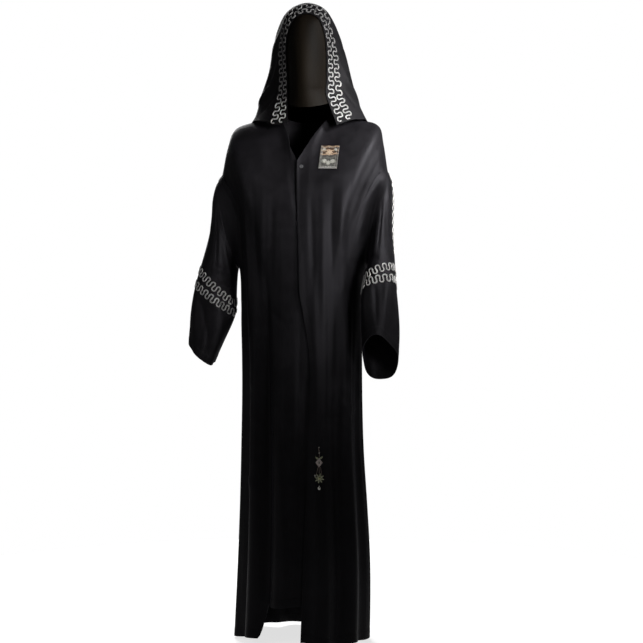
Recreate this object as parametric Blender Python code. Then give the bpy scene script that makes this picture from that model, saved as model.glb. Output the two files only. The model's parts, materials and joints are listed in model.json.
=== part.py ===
"""Robe, head veil and face veil as worn cloth walls, hollow and open at the neck, hem and cuffs.

Metres, +Z up. The front faces -Y and +X is the wearer's left. The origin is the middle of the
neck base, at the height where the robe lies on the shoulders.
"""

import math

import bpy
import numpy as np
from mathutils import Vector
from mathutils.bvhtree import BVHTree

MM = 0.001
CLOTH = 1.6 * MM  # thickness of every cloth wall
SEAM_GAP = 0.3 * MM  # space between two panels along a seam
LAP_UNDER = 4.2 * MM  # how far the right front lies under the left one
LAP_WIDTH = 42.0 * MM  # how far it runs on under it
UPPER_ROWS = 7  # rows from the top edge to the waist ring
SKIRT_ROWS = 13  # rows from the waist ring to the hem
WAIST_Z = -470 * MM
HEM_Z = -1398 * MM
CAUGHT_UP = 94 * MM  # how much higher the right front's hem hangs beside its edge
NECK_COLUMNS = 4
SHOULDER_COLUMNS = 6
ARMHOLE_COLUMNS = 8
SLEEVE_ROWS = 14
ARMHOLE_REACH = 95 * MM  # how far from an armhole its cloth is evened out
VEIL_COLUMNS = 26
VEIL_ROWS = 20
BRAID_WIDTH = 4.6 * MM
BRAID_HEIGHT = 2.2 * MM
BRAID_LIFT = 0.5 * MM
ORNAMENT_LIFT = 0.35 * MM

# Robe below the arms: height, middle across, half width, front and back of the ring.
BODY_COLUMNS = ("z", "mid_x", "half_width", "front_y", "back_y")
BODY_RINGS = (
    (-400, -8, 176, -136, 100),
    (-470, -9, 168, -138, 102),
    (-560, -9, 165, -140, 104),
    (-700, -8, 162, -143, 108),
    (-900, -7, 163, -148, 113),
    (-1050, -4, 168, -152, 118),
    (-1200, -3, 174, -157, 124),
    (-1330, -6, 177, -161, 130),
    (-1412, -9, 178, -163, 132),
)
SIDE_Y = -8 * MM

# Edge of the left front from the waist down: height and how far across it runs.
FRONT_EDGE = (
    (-470, 18),
    (-630, 44),
    (-900, 44),
    (-1150, 34),
    (-1400, 27),
)

# Long folds of the robe: angle from the middle front at the waist and at the hem, half width of
# the fold in degrees, its depth at the hem in mm (outwards is positive), and where it fades in.
FOLDS = (
    (-25, -24, 9, -24, -250),
    (-12, -11, 9, 9, -300),
    (-39, -38, 9, 11, -320),
    (-53, -54, 9, -13, -420),
    (-68, -67, 9, 9, -480),
    (-83, -84, 9, -10, -560),
    (17, 15, 8, -9, -300),
    (31, 32, 10, 9, -430),
    (47, 48, 9, -13, -380),
    (63, 62, 9, 10, -420),
    (79, 80, 9, -11, -520),
    (97, 98, 9, 9, -460),
    (113, 114, 9, -14, -380),
    (130, 131, 9, 10, -360),
    (147, 146, 9, -16, -340),
    (164, 165, 9, 10, -420),
    (181, 180, 9, -13, -300),
    (199, 198, 9, 11, -380),
    (215, 216, 9, -17, -340),
    (232, 231, 9, 9, -420),
    (248, 249, 9, -14, -400),
    (264, 263, 8, 8, -520),
)

# Neck edge of the front and back, and the shoulder seam out to the armhole, right side.
NECK_FRONT = (
    (-5, -107, -122),
    (-26, -90, -82),
    (-50, -64, -38),
    (-70, -36, -6),
    (-79, 4, 10),
)
NECK_BACK = (
    (0, 66, 0),
    (-26, 62, 2),
    (-52, 50, 6),
    (-70, 30, 10),
    (-79, 4, 10),
)
UNDER_CORNER = (20, -104, -150)  # where the right front's neck edge ends, under the left front
SHOULDER = {
    "right": (
        (-79, 4, 10),
        (-120, 3, 2),
        (-160, 2, -4),
        (-190, 2, -14),
        (-216, 1, -34),
        (-237, 0, -66),
        (-251, 0, -100),
        (-260, 0, -135),
    ),
    "left": (
        (79, 4, 10),
        (120, 3, 2),
        (160, 2, -8),
        (190, 2, -16),
        (215, 1, -33),
        (232, 0, -67),
        (242, 0, -101),
        (249, 0, -135),
    ),
}

# Sleeves: share of the way down, the overarm line, the underarm line, the middle front to back,
# half the depth, and how much higher the front of the ring is than its middle.
SLEEVE_COLUMNS = ("along", "out_x", "out_z", "in_x", "in_z", "mid_y", "half_depth", "front_lift")
SLEEVES = {
    "right": (
        (0.00, -260, -135, -183, -405, 0, 72, 0),
        (0.12, -254, -190, -193, -413, -4, 71, 2),
        (0.25, -251, -250, -196, -428, -10, 68, 4),
        (0.38, -268, -317, -194, -456, -19, 64, 4),
        (0.52, -286, -390, -190, -488, -29, 60, 2),
        (0.62, -296, -440, -190, -514, -37, 57, 0),
        (0.74, -305, -500, -196, -548, -45, 54, -2),
        (0.87, -309, -556, -214, -600, -51, 51, -4),
        (1.00, -310, -611, -244, -668, -55, 46, -6),
    ),
    "left": (
        (0.00, 249, -135, 169, -405, 0, 72, 0),
        (0.12, 242, -190, 179, -411, -8, 74, 2),
        (0.25, 243, -250, 182, -418, -18, 75, 6),
        (0.38, 249, -317, 180, -425, -30, 74, 10),
        (0.52, 257, -392, 175, -436, -43, 72, 14),
        (0.62, 262, -440, 172, -466, -52, 70, 20),
        (0.74, 265, -500, 170, -516, -61, 68, 30),
        (0.87, 267, -570, 171, -582, -68, 66, 44),
        (1.00, 267, -640, 175, -654, -72, 64, 60),
    ),
}
UPPER_BRAID_AT = {"right": 0.535, "left": 0.565}
LOWER_BRAID_AT = {"right": 0.62, "left": 0.635}

# Head veil: lines from its front edge over the head or shoulder to its back hem, each at a share
# of the way along the front edge from the right shoulder (-1) to the left one (1).
VEIL_LINES = (
    (
        -1.0,
        (
            (-32, -70, -16),
            (-66, -62, -20),
            (-106, -42, -6),
            (-152, 6, -4),
            (-172, 52, -42),
            (-184, 88, -120),
            (-190, 108, -250),
            (-196, 118, -430),
        ),
    ),
    (
        -0.85,
        (
            (-33, -62, 44),
            (-60, -42, 42),
            (-110, -10, 40),
            (-144, 22, 30),
            (-138, 70, -10),
            (-146, 100, -105),
            (-160, 118, -246),
            (-166, 127, -434),
        ),
    ),
    (
        -0.62,
        (
            (-34, -58, 98),
            (-58, -36, 100),
            (-96, -2, 98),
            (-132, 30, 80),
            (-101, 84, 28),
            (-104, 108, -90),
            (-122, 126, -240),
            (-130, 134, -436),
        ),
    ),
    (
        -0.32,
        (
            (-33, -66, 218),
            (-60, -34, 224),
            (-91, 8, 222),
            (-84, 56, 196),
            (-58, 96, 130),
            (-56, 112, -30),
            (-62, 128, -210),
            (-66, 136, -440),
        ),
    ),
    (
        -0.16,
        (
            (-14, -74, 258),
            (-40, -46, 282),
            (-60, 8, 283),
            (-52, 60, 262),
            (-34, 99, 184),
            (-28, 112, 0),
            (-31, 128, -204),
            (-33, 136, -440),
        ),
    ),
    (
        0.0,
        (
            (22, -80, 272),
            (14, -50, 304),
            (2, 6, 316),
            (2, 62, 288),
            (1, 100, 215),
            (0, 112, 20),
            (0, 128, -200),
            (0, 136, -440),
        ),
    ),
    (
        0.16,
        (
            (56, -76, 258),
            (66, -46, 283),
            (64, 8, 283),
            (55, 60, 263),
            (36, 99, 184),
            (29, 112, 0),
            (31, 128, -204),
            (33, 136, -440),
        ),
    ),
    (
        0.32,
        (
            (70, -66, 216),
            (80, -36, 222),
            (94, 8, 224),
            (86, 56, 196),
            (60, 96, 130),
            (58, 112, -30),
            (63, 128, -210),
            (66, 136, -440),
        ),
    ),
    (
        0.62,
        (
            (74, -58, 98),
            (98, -34, 100),
            (124, 0, 94),
            (131, 34, 72),
            (102, 84, 26),
            (106, 108, -90),
            (123, 126, -240),
            (130, 134, -436),
        ),
    ),
    (
        0.85,
        (
            (76, -62, 46),
            (110, -42, 42),
            (138, -6, 40),
            (151, 24, 26),
            (146, 70, -14),
            (148, 100, -107),
            (161, 118, -247),
            (167, 127, -434),
        ),
    ),
    (
        1.0,
        (
            (104, -66, -26),
            (134, -44, -12),
            (156, -16, -6),
            (170, 8, -8),
            (176, 52, -46),
            (186, 88, -122),
            (191, 108, -252),
            (197, 118, -432),
        ),
    ),
)
VEIL_STATIONS = (0.0, 0.055, 0.135, 0.23, 0.34, 0.50, 0.72, 1.0)
VEIL_REST = 1.0 * MM  # space left under the veil where it lies on the robe
OUTER_BRAID_IN = 11 * MM  # from the front edge to the middle of the first row
INNER_BRAID_IN = 34 * MM

# Sewn-on badge and drop of the left front, and the press stud at the bottom of the neck opening.
BADGE = {"centre": (89, -105, -108), "width": 49, "height": 72, "lean": 0.06}
DROP = {"centre": (73, -140, -937), "width": 30, "height": 116, "lean": 0.0}
SNAP_AT = (18, -115, -137)

# Outline of the drop from its tip up: share of half its height, share of half its width.
DROP_OUTLINE = (
    (-1.00, 0.14),
    (-0.86, 0.34),
    (-0.74, 0.20),
    (-0.66, 0.50),
    (-0.50, 0.85),
    (-0.30, 1.00),
    (-0.12, 0.55),
    (0.00, 0.24),
    (0.16, 0.20),
    (0.30, 0.46),
    (0.44, 0.82),
    (0.60, 0.50),
    (0.72, 0.16),
    (0.86, 0.12),
    (1.00, 0.10),
)

# Face veil, from the forehead to the throat: how far its sides lie from the middle of the head
# veil's front edge, in columns of that veil, and how far forward its middle line lies.
FACE_LINE = (
    (1.0, -78),
    (2.3, -90),
    (3.6, -98),
    (4.9, -104),
    (6.2, -107),
    (7.5, -108),
    (8.8, -105),
    (10.1, -101),
    (11.45, -98),
)
FACE_SAG = 13 * MM  # how much lower the middle of its lower edge hangs than the sides
FACE_COLUMNS = 10


def ease(low, high, x):
    """0 below low, 1 above high and smooth between."""
    t = np.clip((np.asarray(x, float) - low) / (high - low), 0, 1)
    return t * t * (3 - 2 * t)


def through(keys, values, at):
    """A smooth line through values at rising keys."""
    keys = np.asarray(keys, float)
    values = np.asarray(values, float).reshape(len(keys), -1)
    at = np.clip(np.atleast_1d(np.asarray(at, float)), keys[0], keys[-1])
    slope = np.gradient(values, keys, axis=0)
    i = np.clip(np.searchsorted(keys, at) - 1, 0, len(keys) - 2)
    step = keys[i + 1] - keys[i]
    t = ((at - keys[i]) / step)[:, None]
    step = step[:, None]
    return (
        (2 * t**3 - 3 * t**2 + 1) * values[i]
        + (t**3 - 2 * t**2 + t) * step * slope[i]
        + (3 * t**2 - 2 * t**3) * values[i + 1]
        + (t**3 - t**2) * step * slope[i + 1]
    )


def along_points(points, at):
    """Points at shares of the length of a smooth line through points."""
    points = np.asarray(points, float) * MM
    chord = np.concatenate([[0], np.cumsum(np.linalg.norm(np.diff(points, axis=0), axis=1))])
    return through(chord / chord[-1], points, at)


def column(table, names, name, at):
    """One named column of a table, read smoothly at a value of its first column."""
    rows = np.asarray(sorted(table), float)
    scale = 1 if names[0] == "along" else MM
    return through(rows[:, 0] * scale, rows[:, names.index(name)] * MM, at)[:, 0]


def fold_depth(degrees, z):
    """How far the cloth of the robe stands out at an angle and height."""
    degrees = np.asarray(degrees, float)
    down = np.clip((WAIST_Z - z) / (WAIST_Z + 1.4), 0, 1)
    total = np.zeros(np.broadcast(degrees, z).shape)
    for waist, hem, half, depth, start in FOLDS:
        middle = waist + (hem - waist) * down
        off = (degrees - middle + 180) % 360 - 180
        grows = ease(0, 1, (start * MM - z) / 0.75) * 0.75 + 0.25 * ease(0, 1, (start * MM - z) / 0.2)
        total += depth * MM * grows * np.exp(-((off / half) ** 2) * 1.4)
    return total


def body_point(degrees, z):
    """A point of the robe below the arms: angle from the middle front towards the left, height."""
    turn = np.radians(degrees)
    mid = column(BODY_RINGS, BODY_COLUMNS, "mid_x", z)
    half = column(BODY_RINGS, BODY_COLUMNS, "half_width", z)
    front = column(BODY_RINGS, BODY_COLUMNS, "front_y", z)
    back = column(BODY_RINGS, BODY_COLUMNS, "back_y", z)
    reach = np.where(np.cos(turn) > 0, front, back) - SIDE_Y
    out = fold_depth(degrees, z)
    x = mid + half * np.sin(turn) + out * np.sin(turn)
    y = SIDE_Y + reach * np.abs(np.cos(turn)) - out * np.cos(turn)
    return np.stack([x, y, np.broadcast_to(z, x.shape)], axis=-1)


def edge_degrees(z):
    """Angle of the left front's edge at a height below the waist."""
    rows = np.asarray(sorted(FRONT_EDGE), float) * MM
    x = through(rows[:, 0], rows[:, 1], z)[:, 0]
    mid = column(BODY_RINGS, BODY_COLUMNS, "mid_x", z)
    half = column(BODY_RINGS, BODY_COLUMNS, "half_width", z)
    return np.degrees(np.arcsin(np.clip((x - mid) / half, -1, 1)))


def hem_height(degrees, caught_up):
    """Height of the hem, where the right front is caught up between its deep fold and its edge."""
    off = (np.asarray(degrees, float) + 180) % 360 - 180
    wave = 4 * MM * np.sin(np.radians(off * 7)) + 5 * MM * np.cos(np.radians(off * 2 + 40))
    rise = CAUGHT_UP * ease(-31, -23, off) if caught_up else 0.0
    return HEM_Z + wave + rise


def sleeve_ring(side, along, turn):
    """A ring of a sleeve: turn 0 is the overarm line, 90 degrees the front, 180 the underarm."""
    def at(name):
        return float(column(SLEEVES[side], SLEEVE_COLUMNS, name, along)[0])

    outer = np.array([at("out_x"), at("mid_y"), at("out_z")])
    inner = np.array([at("in_x"), at("mid_y"), at("in_z")])
    middle = (outer + inner) / 2
    half = (outer - inner) / 2
    cos = np.cos(turn)[:, None]
    sin = np.sin(turn)[:, None]
    depth = np.array([0, -at("half_depth"), at("front_lift")])
    return middle + half * cos + depth * sin


def sleeve_folds(side, along, turn):
    """Soft slanting folds of a sleeve, none at the armhole."""
    grows = ease(0.0, 0.35, along)
    slant = 2.2 * along * math.pi
    a = 3.2 * MM * np.sin(3 * turn + slant + (0.6 if side == "right" else 2.1))
    b = 2.0 * MM * np.sin(5 * turn - 1.7 * slant)
    return grows * (a + b)


def armhole(side, front):
    """The armhole from the shoulder seam to the underarm, by the front or the back."""
    turn = np.linspace(0, math.pi, ARMHOLE_COLUMNS + 1)
    return sleeve_ring(side, 0.0, turn if front else -turn)


def top_edge(side, front):
    """Top edge of a quarter of the robe, from its middle to the underarm, and its run into the cloth."""
    flip = np.array([1 if side == "right" else -1, 1, 1])
    neck = along_points(NECK_FRONT if front else NECK_BACK, np.linspace(0, 1, NECK_COLUMNS + 1)) * flip
    seam = along_points(SHOULDER[side], np.linspace(0, 1, SHOULDER_COLUMNS + 1))
    hole = armhole(side, front)
    points = np.concatenate([neck[:-1], seam[:-1], hole])
    ahead = -1 if front else 1
    inward = 1 if side == "right" else -1
    shoulder_end = NECK_COLUMNS + SHOULDER_COLUMNS
    leave = np.array([
        (0, 0, 0.15, -1.0),
        (NECK_COLUMNS, 0, 0.75, -0.45),
        (NECK_COLUMNS + SHOULDER_COLUMNS * 0.6, 0.15, 0.95, -0.30),
        (shoulder_end, 0.62, 0.36, -0.2),
        (shoulder_end + ARMHOLE_COLUMNS * 0.25, 0.68, 0.2, -0.35),
        (shoulder_end + ARMHOLE_COLUMNS * 0.5, 0.75, 0.12, -0.55),
        (shoulder_end + ARMHOLE_COLUMNS * 0.75, 0.7, 0.05, -0.75),
        (shoulder_end + ARMHOLE_COLUMNS, 0.35, 0.0, -0.9),
    ])
    runs = through(leave[:, 0], leave[:, 1:], np.arange(len(points)))
    runs = runs * np.array([inward, ahead, 1])
    return points, runs


def upper_rows(points, runs, ring, ring_run):
    """Rows from a top edge down to the waist ring, each column one smooth curve."""
    t = np.linspace(0, 1, UPPER_ROWS + 1)[:, None, None]
    length = np.linalg.norm(ring - points, axis=1)[None, :, None]
    start = runs[None] * length
    end = ring_run[None] * length
    return (
        (2 * t**3 - 3 * t**2 + 1) * points[None]
        + (t**3 - 2 * t**2 + t) * start
        + (3 * t**2 - 2 * t**3) * ring[None]
        + (t**3 - t**2) * end
    )


def relaxed(grid, rows, times):
    """The inner points of the first rows eased towards the middle of their neighbours."""
    for _ in range(times):
        middle = (grid[:-2, 1:-1] + grid[2:, 1:-1] + grid[1:-1, :-2] + grid[1:-1, 2:]) / 4
        grid[1:rows, 1:-1] += 0.5 * (middle[: rows - 1] - grid[1:rows, 1:-1])
    return grid


def quarter(side, front):
    """Grid of a quarter of the robe, rows from the top edge to the hem, columns from its middle."""
    points, runs = top_edge(side, front)
    sign = -1 if side == "right" else 1
    share = np.linspace(0, 1, len(points))
    rows = []
    for k in range(SKIRT_ROWS + 1):
        down = k / SKIRT_ROWS
        if front:
            middle = column_angles(side, down, share, sign)
        else:
            middle = 180 - (180 - 90) * share if sign > 0 else 180 + 90 * share
        rows.append(skirt_row(side, front, middle, down))
    ring = rows[0]
    down_run = np.stack([np.zeros(len(points)), np.zeros(len(points)), -np.ones(len(points))], axis=1)
    if front and side == "right":
        points[0] = np.array(UNDER_CORNER) * MM
    upper = upper_rows(points, runs, ring, down_run)
    grid = np.concatenate([upper[:-1], np.array(rows)])
    return relaxed(grid, UPPER_ROWS, 2)


def column_angles(side, down, share, sign):
    """Angles of the front columns in a row, which keep to the edge of the front."""
    z = WAIST_Z + (HEM_Z - WAIST_Z) * down
    edge = float(edge_degrees(z)[0])
    if side == "right":
        edge += math.degrees(LAP_WIDTH / 0.17)
    return edge + (sign * 90 - edge) * share


def skirt_row(side, front, degrees, down):
    """One row of the robe between the waist and the hem."""
    under_lap = front and side == "right"
    z = WAIST_Z + (hem_height(degrees, under_lap) - WAIST_Z) * down
    row = body_point(degrees, z)
    if under_lap:
        edge = edge_degrees(z)
        under = ease(-16, -3, degrees - edge)
        turn = np.radians(degrees)
        row[:, 0] -= LAP_UNDER * under * np.sin(turn)
        row[:, 1] += LAP_UNDER * under * np.cos(turn)
    return row


def sleeve_grid(side):
    """Grid of a sleeve, rows from the armhole to the cuff, columns once round it."""
    turn = np.linspace(0, 2 * math.pi, 2 * ARMHOLE_COLUMNS + 1)
    rows = []
    for along in np.linspace(0, 1, SLEEVE_ROWS + 1):
        ring = sleeve_ring(side, along, turn)
        middle = ring[:-1].mean(axis=0)
        out = ring - middle
        out /= np.linalg.norm(out, axis=1)[:, None]
        rows.append(ring + out * sleeve_folds(side, along, turn)[:, None])
    grid = np.array(rows)
    grid[:, -1] = grid[:, 0]
    return grid


def veil_grid():
    """Grid of the head veil, rows from its front edge to its back hem, columns from left to right."""
    shares = np.array([line[0] for line in VEIL_LINES])
    across = np.linspace(-1, 1, VEIL_COLUMNS + 1)
    near = np.array([0, 0.018, 0.036, 0.058, 0.085, 0.12])
    down = np.concatenate([near, np.linspace(0.12, 1, VEIL_ROWS - 4)[1:]])
    lines = [through(VEIL_STATIONS, np.array(points, float) * MM, down) for _, points in VEIL_LINES]
    lines = np.array(lines)
    grid = np.array([through(shares, lines[:, k], across) for k in range(len(down))])
    wave = np.sin(across * 9.5 * math.pi / 1.9 + 0.5) + 0.45 * np.sin(across * 17 + 1.1)
    grows = ease(0.36, 1.0, down)
    grid[:, :, 1] += 9 * MM * grows[:, None] * wave[None]
    return grid[:, ::-1]


def lifted(points, ways, checks, tree, least, times=6):
    """Points moved along their ways until every checked place stands clear of a surface.

    A check is a group of points whose mean must stand at least so far above the surface.
    """
    points = np.array(points)
    ways = np.asarray(ways)
    for _ in range(times):
        rise = np.zeros(len(points))
        for group in checks:
            way = Vector(unit(ways[list(group)].mean(axis=0)))
            place = Vector(points[list(group)].mean(axis=0))
            hit, _, _, _ = tree.ray_cast(place + way * 0.03, -way, 0.06)
            if hit is None:
                continue
            short = least - (place - hit).dot(way)
            if short > 0:
                for k in group:
                    rise[k] = max(rise[k], short)
        if rise.max() < 0.01 * MM:
            break
        points += ways * rise[:, None]
    return points


def cell_checks(rows, cols):
    """Groups for the corners, edges and middles of the cells of a grid."""
    checks = []
    for i in range(rows):
        for j in range(cols):
            k = i * cols + j
            checks.append((k,))
            if j + 1 < cols:
                checks.append((k, k + 1))
            if i + 1 < rows:
                checks.append((k, k + cols))
                checks.append((k, k, k, k + cols))
                checks.append((k, k + cols, k + cols, k + cols))
            if j + 1 < cols and i + 1 < rows:
                checks.append((k, k + cols + 1))
                checks.append((k + 1, k + cols))
                checks.append((k, k, k, k + cols + 1))
                checks.append((k, k + cols + 1, k + cols + 1, k + cols + 1))
    return checks


def face_grid(veil, normals):
    """Grid of the face veil: its sides and top lie inside the head veil's front edge."""
    middle = VEIL_COLUMNS / 2
    across = np.linspace(-1, 1, FACE_COLUMNS - 1)
    top_spread = FACE_LINE[0][0]
    rows = []
    for row, inside in ((2.2, 1.8 * MM), (1.1, 2.6 * MM), (0.0, 3.0 * MM)):
        reach = np.concatenate([[-1.6, -1.3], across, [1.3, 1.6]]) * top_spread
        rows.append([on_grid(veil, normals, row, middle + r, inside) for r in reach])
    for spread, forward in FACE_LINE[1:]:
        left = [on_grid(veil, normals, r, middle - spread, 3 * MM) for r in (2.2, 1.1)]
        right = [on_grid(veil, normals, r, middle + spread, 3 * MM) for r in (1.1, 2.2)]
        lip_left = on_grid(veil, normals, 0.0, middle - spread, 3 * MM)
        lip_right = on_grid(veil, normals, 0.0, middle + spread, 3 * MM)
        centre = (lip_left + lip_right) / 2
        sag = FACE_SAG * ease(110 * MM, 30 * MM, centre[2])
        centre = np.array([centre[0], forward * MM, centre[2] - sag])
        inner = [arch(lip_left, centre, lip_right, (u + 1) / 2) for u in across]
        rows.append(left + inner + right)
    return np.array(rows)


def arch(start, middle, end, u):
    """A point of a rounded line from start over middle to end."""
    flat = start + (end - start) * u
    rise = middle - (start + end) / 2
    return flat + rise * (1 - abs(2 * u - 1) ** 2)


def on_grid(grid, normals, row, col, inside=1.95 * MM):
    """A point at a row and column of a grid, moved in from it."""
    i, j = int(math.floor(row)), int(math.floor(col))
    a, b = row - i, col - j
    point = 0
    normal = 0
    for di, wi in ((0, 1 - a), (1, a)):
        for dj, wj in ((0, 1 - b), (1, b)):
            point = point + wi * wj * grid[i + di, j + dj]
            normal = normal + wi * wj * normals[i + di, j + dj]
    return point - normal / np.linalg.norm(normal) * inside


def face_normals(grid):
    """Normals at the points of a grid, each the mean of the faces round it."""
    across = np.diff(grid, axis=1)[:-1] + np.diff(grid, axis=1)[1:]
    downs = np.diff(grid, axis=0)[:, :-1] + np.diff(grid, axis=0)[:, 1:]
    return np.cross(downs, across)


def welded(grids):
    """The separate points of several grids, and which of them each grid point is."""
    points = np.concatenate([grid.reshape(-1, 3) for grid in grids])
    places = np.round(points * 1e5).astype(int)
    _, first, where = np.unique(places, axis=0, return_index=True, return_inverse=True)
    return points[first], where.ravel()


def neighbours(grids, where):
    """Pairs of separate points that lie next to each other in a row or column of a grid."""
    pairs = []
    start = 0
    for grid in grids:
        rows, cols = grid.shape[:2]
        index = where[start:start + rows * cols].reshape(rows, cols)
        pairs.append(np.stack([index[:-1].ravel(), index[1:].ravel()], axis=1))
        pairs.append(np.stack([index[:, :-1].ravel(), index[:, 1:].ravel()], axis=1))
        start += rows * cols
    pairs = np.unique(np.sort(np.concatenate(pairs), axis=1), axis=0)
    return pairs[pairs[:, 0] != pairs[:, 1]].T


def evened(grids, seams, reach, times):
    """Joined grids with the bends of the cloth evened out within a reach of some seams."""
    points, where = welded(grids)
    a, b = neighbours(grids, where)
    count = np.bincount(np.concatenate([a, b]), minlength=len(points))[:, None]
    away = np.min(np.linalg.norm(points[:, None] - np.concatenate(seams)[None], axis=2), axis=1)
    free = (1 - ease(0.6 * reach, reach, away))[:, None]

    def bend(values):
        total = np.zeros(values.shape)
        np.add.at(total, a, values[b])
        np.add.at(total, b, values[a])
        return total / count - values

    for _ in range(times):
        points = points - 0.24 * free * bend(bend(points))
    ends = np.cumsum([grid.shape[0] * grid.shape[1] for grid in grids])[:-1]
    return [part.reshape(grid.shape) for part, grid in zip(np.split(points[where], ends), grids)]


def joined_normals(grids):
    """Normals of several grids, shared where their edges meet."""
    total = {}
    keys = []
    for grid in grids:
        faces = face_normals(grid)
        sums = np.zeros(grid.shape)
        sums[:-1, :-1] += faces
        sums[1:, :-1] += faces
        sums[:-1, 1:] += faces
        sums[1:, 1:] += faces
        key = [tuple(k) for k in np.round(grid.reshape(-1, 3) * 1e5).astype(int)]
        keys.append(key)
        for k, n in zip(key, sums.reshape(-1, 3)):
            total[k] = total.get(k, 0) + n
    found = []
    for grid, key in zip(grids, keys):
        normal = np.array([total[k] for k in key])
        normal /= np.linalg.norm(normal, axis=1)[:, None]
        found.append(normal.reshape(grid.shape))
    return found


def drawn_in(grid, normals, sides):
    """The seam edges of a grid, drawn in by half the seam gap."""
    moved = grid.copy()
    if "top" in sides:
        moved[0] += inset(grid[0], grid[1], normals[0])
    if "start" in sides:
        moved[:, 0] += inset(grid[:, 0], grid[:, 1], normals[:, 0])
    if "end" in sides:
        moved[:, -1] += inset(grid[:, -1], grid[:, -2], normals[:, -1])
    return moved


def inset(edge, inner, normals):
    """Half the seam gap at each point of an edge, square to the edge and in the cloth."""
    run = unit(np.diff(edge, axis=0))
    closed = np.linalg.norm(edge[0] - edge[-1]) < 1e-9
    before = np.concatenate([run[-1:] if closed else run[:1], run])
    after = np.concatenate([run, run[:1] if closed else run[-1:]])
    squares = []
    for ahead in (before, after):
        square = unit(np.cross(normals, ahead))
        squares.append(square * np.sign(np.sum(square * (inner - edge), axis=1))[:, None])
    both = squares[0] + squares[1]
    meet = 1 + np.sum(squares[0] * squares[1], axis=1)[:, None]
    return both / np.maximum(meet, 0.5) * SEAM_GAP / 2


def unit(v):
    return v / np.linalg.norm(v, axis=-1, keepdims=True)


def wall(name, grid, normals, material, wrap=False, thick=CLOTH):
    """A closed cloth wall on a grid: outer face, inner face and the edges between them."""
    if wrap:
        grid, normals = grid[:, :-1], normals[:, :-1]
    rows, cols = grid.shape[:2]
    outer = (grid + normals * thick / 2).reshape(-1, 3)
    inner = (grid - normals * thick / 2).reshape(-1, 3)
    points = np.concatenate([outer, inner])
    size = rows * cols

    def at(i, j):
        return i * cols + j % cols

    faces = []
    last = cols if wrap else cols - 1
    for i in range(rows - 1):
        for j in range(last):
            a, b, c, d = at(i, j), at(i, j + 1), at(i + 1, j + 1), at(i + 1, j)
            one = np.linalg.norm(grid[i, j % cols] - grid[i + 1, (j + 1) % cols])
            two = np.linalg.norm(grid[i, (j + 1) % cols] - grid[i + 1, j % cols])
            pair = ((a, c, b), (a, d, c)) if one < two else ((a, d, b), (b, d, c))
            for p, q, r in pair:
                faces.append((p, q, r))
                faces.append((r + size, q + size, p + size))
    rim = [(at(0, j), at(0, j + 1)) for j in range(last)]
    rim += [(at(rows - 1, j + 1), at(rows - 1, j)) for j in range(last)]
    if not wrap:
        rim += [(at(i, cols - 1), at(i + 1, cols - 1)) for i in range(rows - 1)]
        rim += [(at(i + 1, 0), at(i, 0)) for i in range(rows - 1)]
    for a, b in rim:
        if np.linalg.norm(points[a] - points[b + size]) < np.linalg.norm(points[b] - points[a + size]):
            faces += [(a, b, b + size), (a, b + size, a + size)]
        else:
            faces += [(a, b, a + size), (b, b + size, a + size)]
    return solid(name, points, faces, material)


def solid(name, points, faces, material):
    """A named object from points and faces, its faces pointing out."""
    mesh = bpy.data.meshes.new(name)
    mesh.from_pydata([tuple(p) for p in points], [], [tuple(f) for f in faces])
    mesh.validate()
    mesh.materials.append(material)
    thing = bpy.data.objects.new(name, mesh)
    bpy.context.collection.objects.link(thing)
    if volume(points, faces) < 0:
        mesh.flip_normals()
    for polygon in mesh.polygons:
        polygon.use_smooth = True
    return thing


def volume(points, faces):
    """Signed volume inside triangles."""
    p = np.asarray(points)
    f = np.array([face[:3] for face in faces])
    return float(np.einsum("ij,ij->i", p[f[:, 0]], np.cross(p[f[:, 1]], p[f[:, 2]])).sum())


def tree_of(*things):
    """A search tree over the triangles of some objects."""
    points = []
    faces = []
    for thing in things:
        start = len(points)
        points += [v.co.copy() for v in thing.data.vertices]
        faces += [tuple(i + start for i in p.vertices) for p in thing.data.polygons]
    return BVHTree.FromPolygons(points, faces)


def snapped(tree, point, outward, lift):
    """The place on a cloth's outer face nearest to a point, lifted off it."""
    start = Vector(point + outward * 0.08)
    hit, _, _, _ = tree.ray_cast(start, Vector(-outward), 0.16)
    if hit is None:
        hit, _, _, _ = tree.find_nearest(Vector(point))
    return np.array(hit) + outward * lift


def read_off(run, values, at):
    """Rows of values read at lengths along a line."""
    at = np.clip(at, 0, run[-1])
    return np.stack([np.interp(at, run, values[:, k]) for k in range(values.shape[1])], axis=1)


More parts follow.
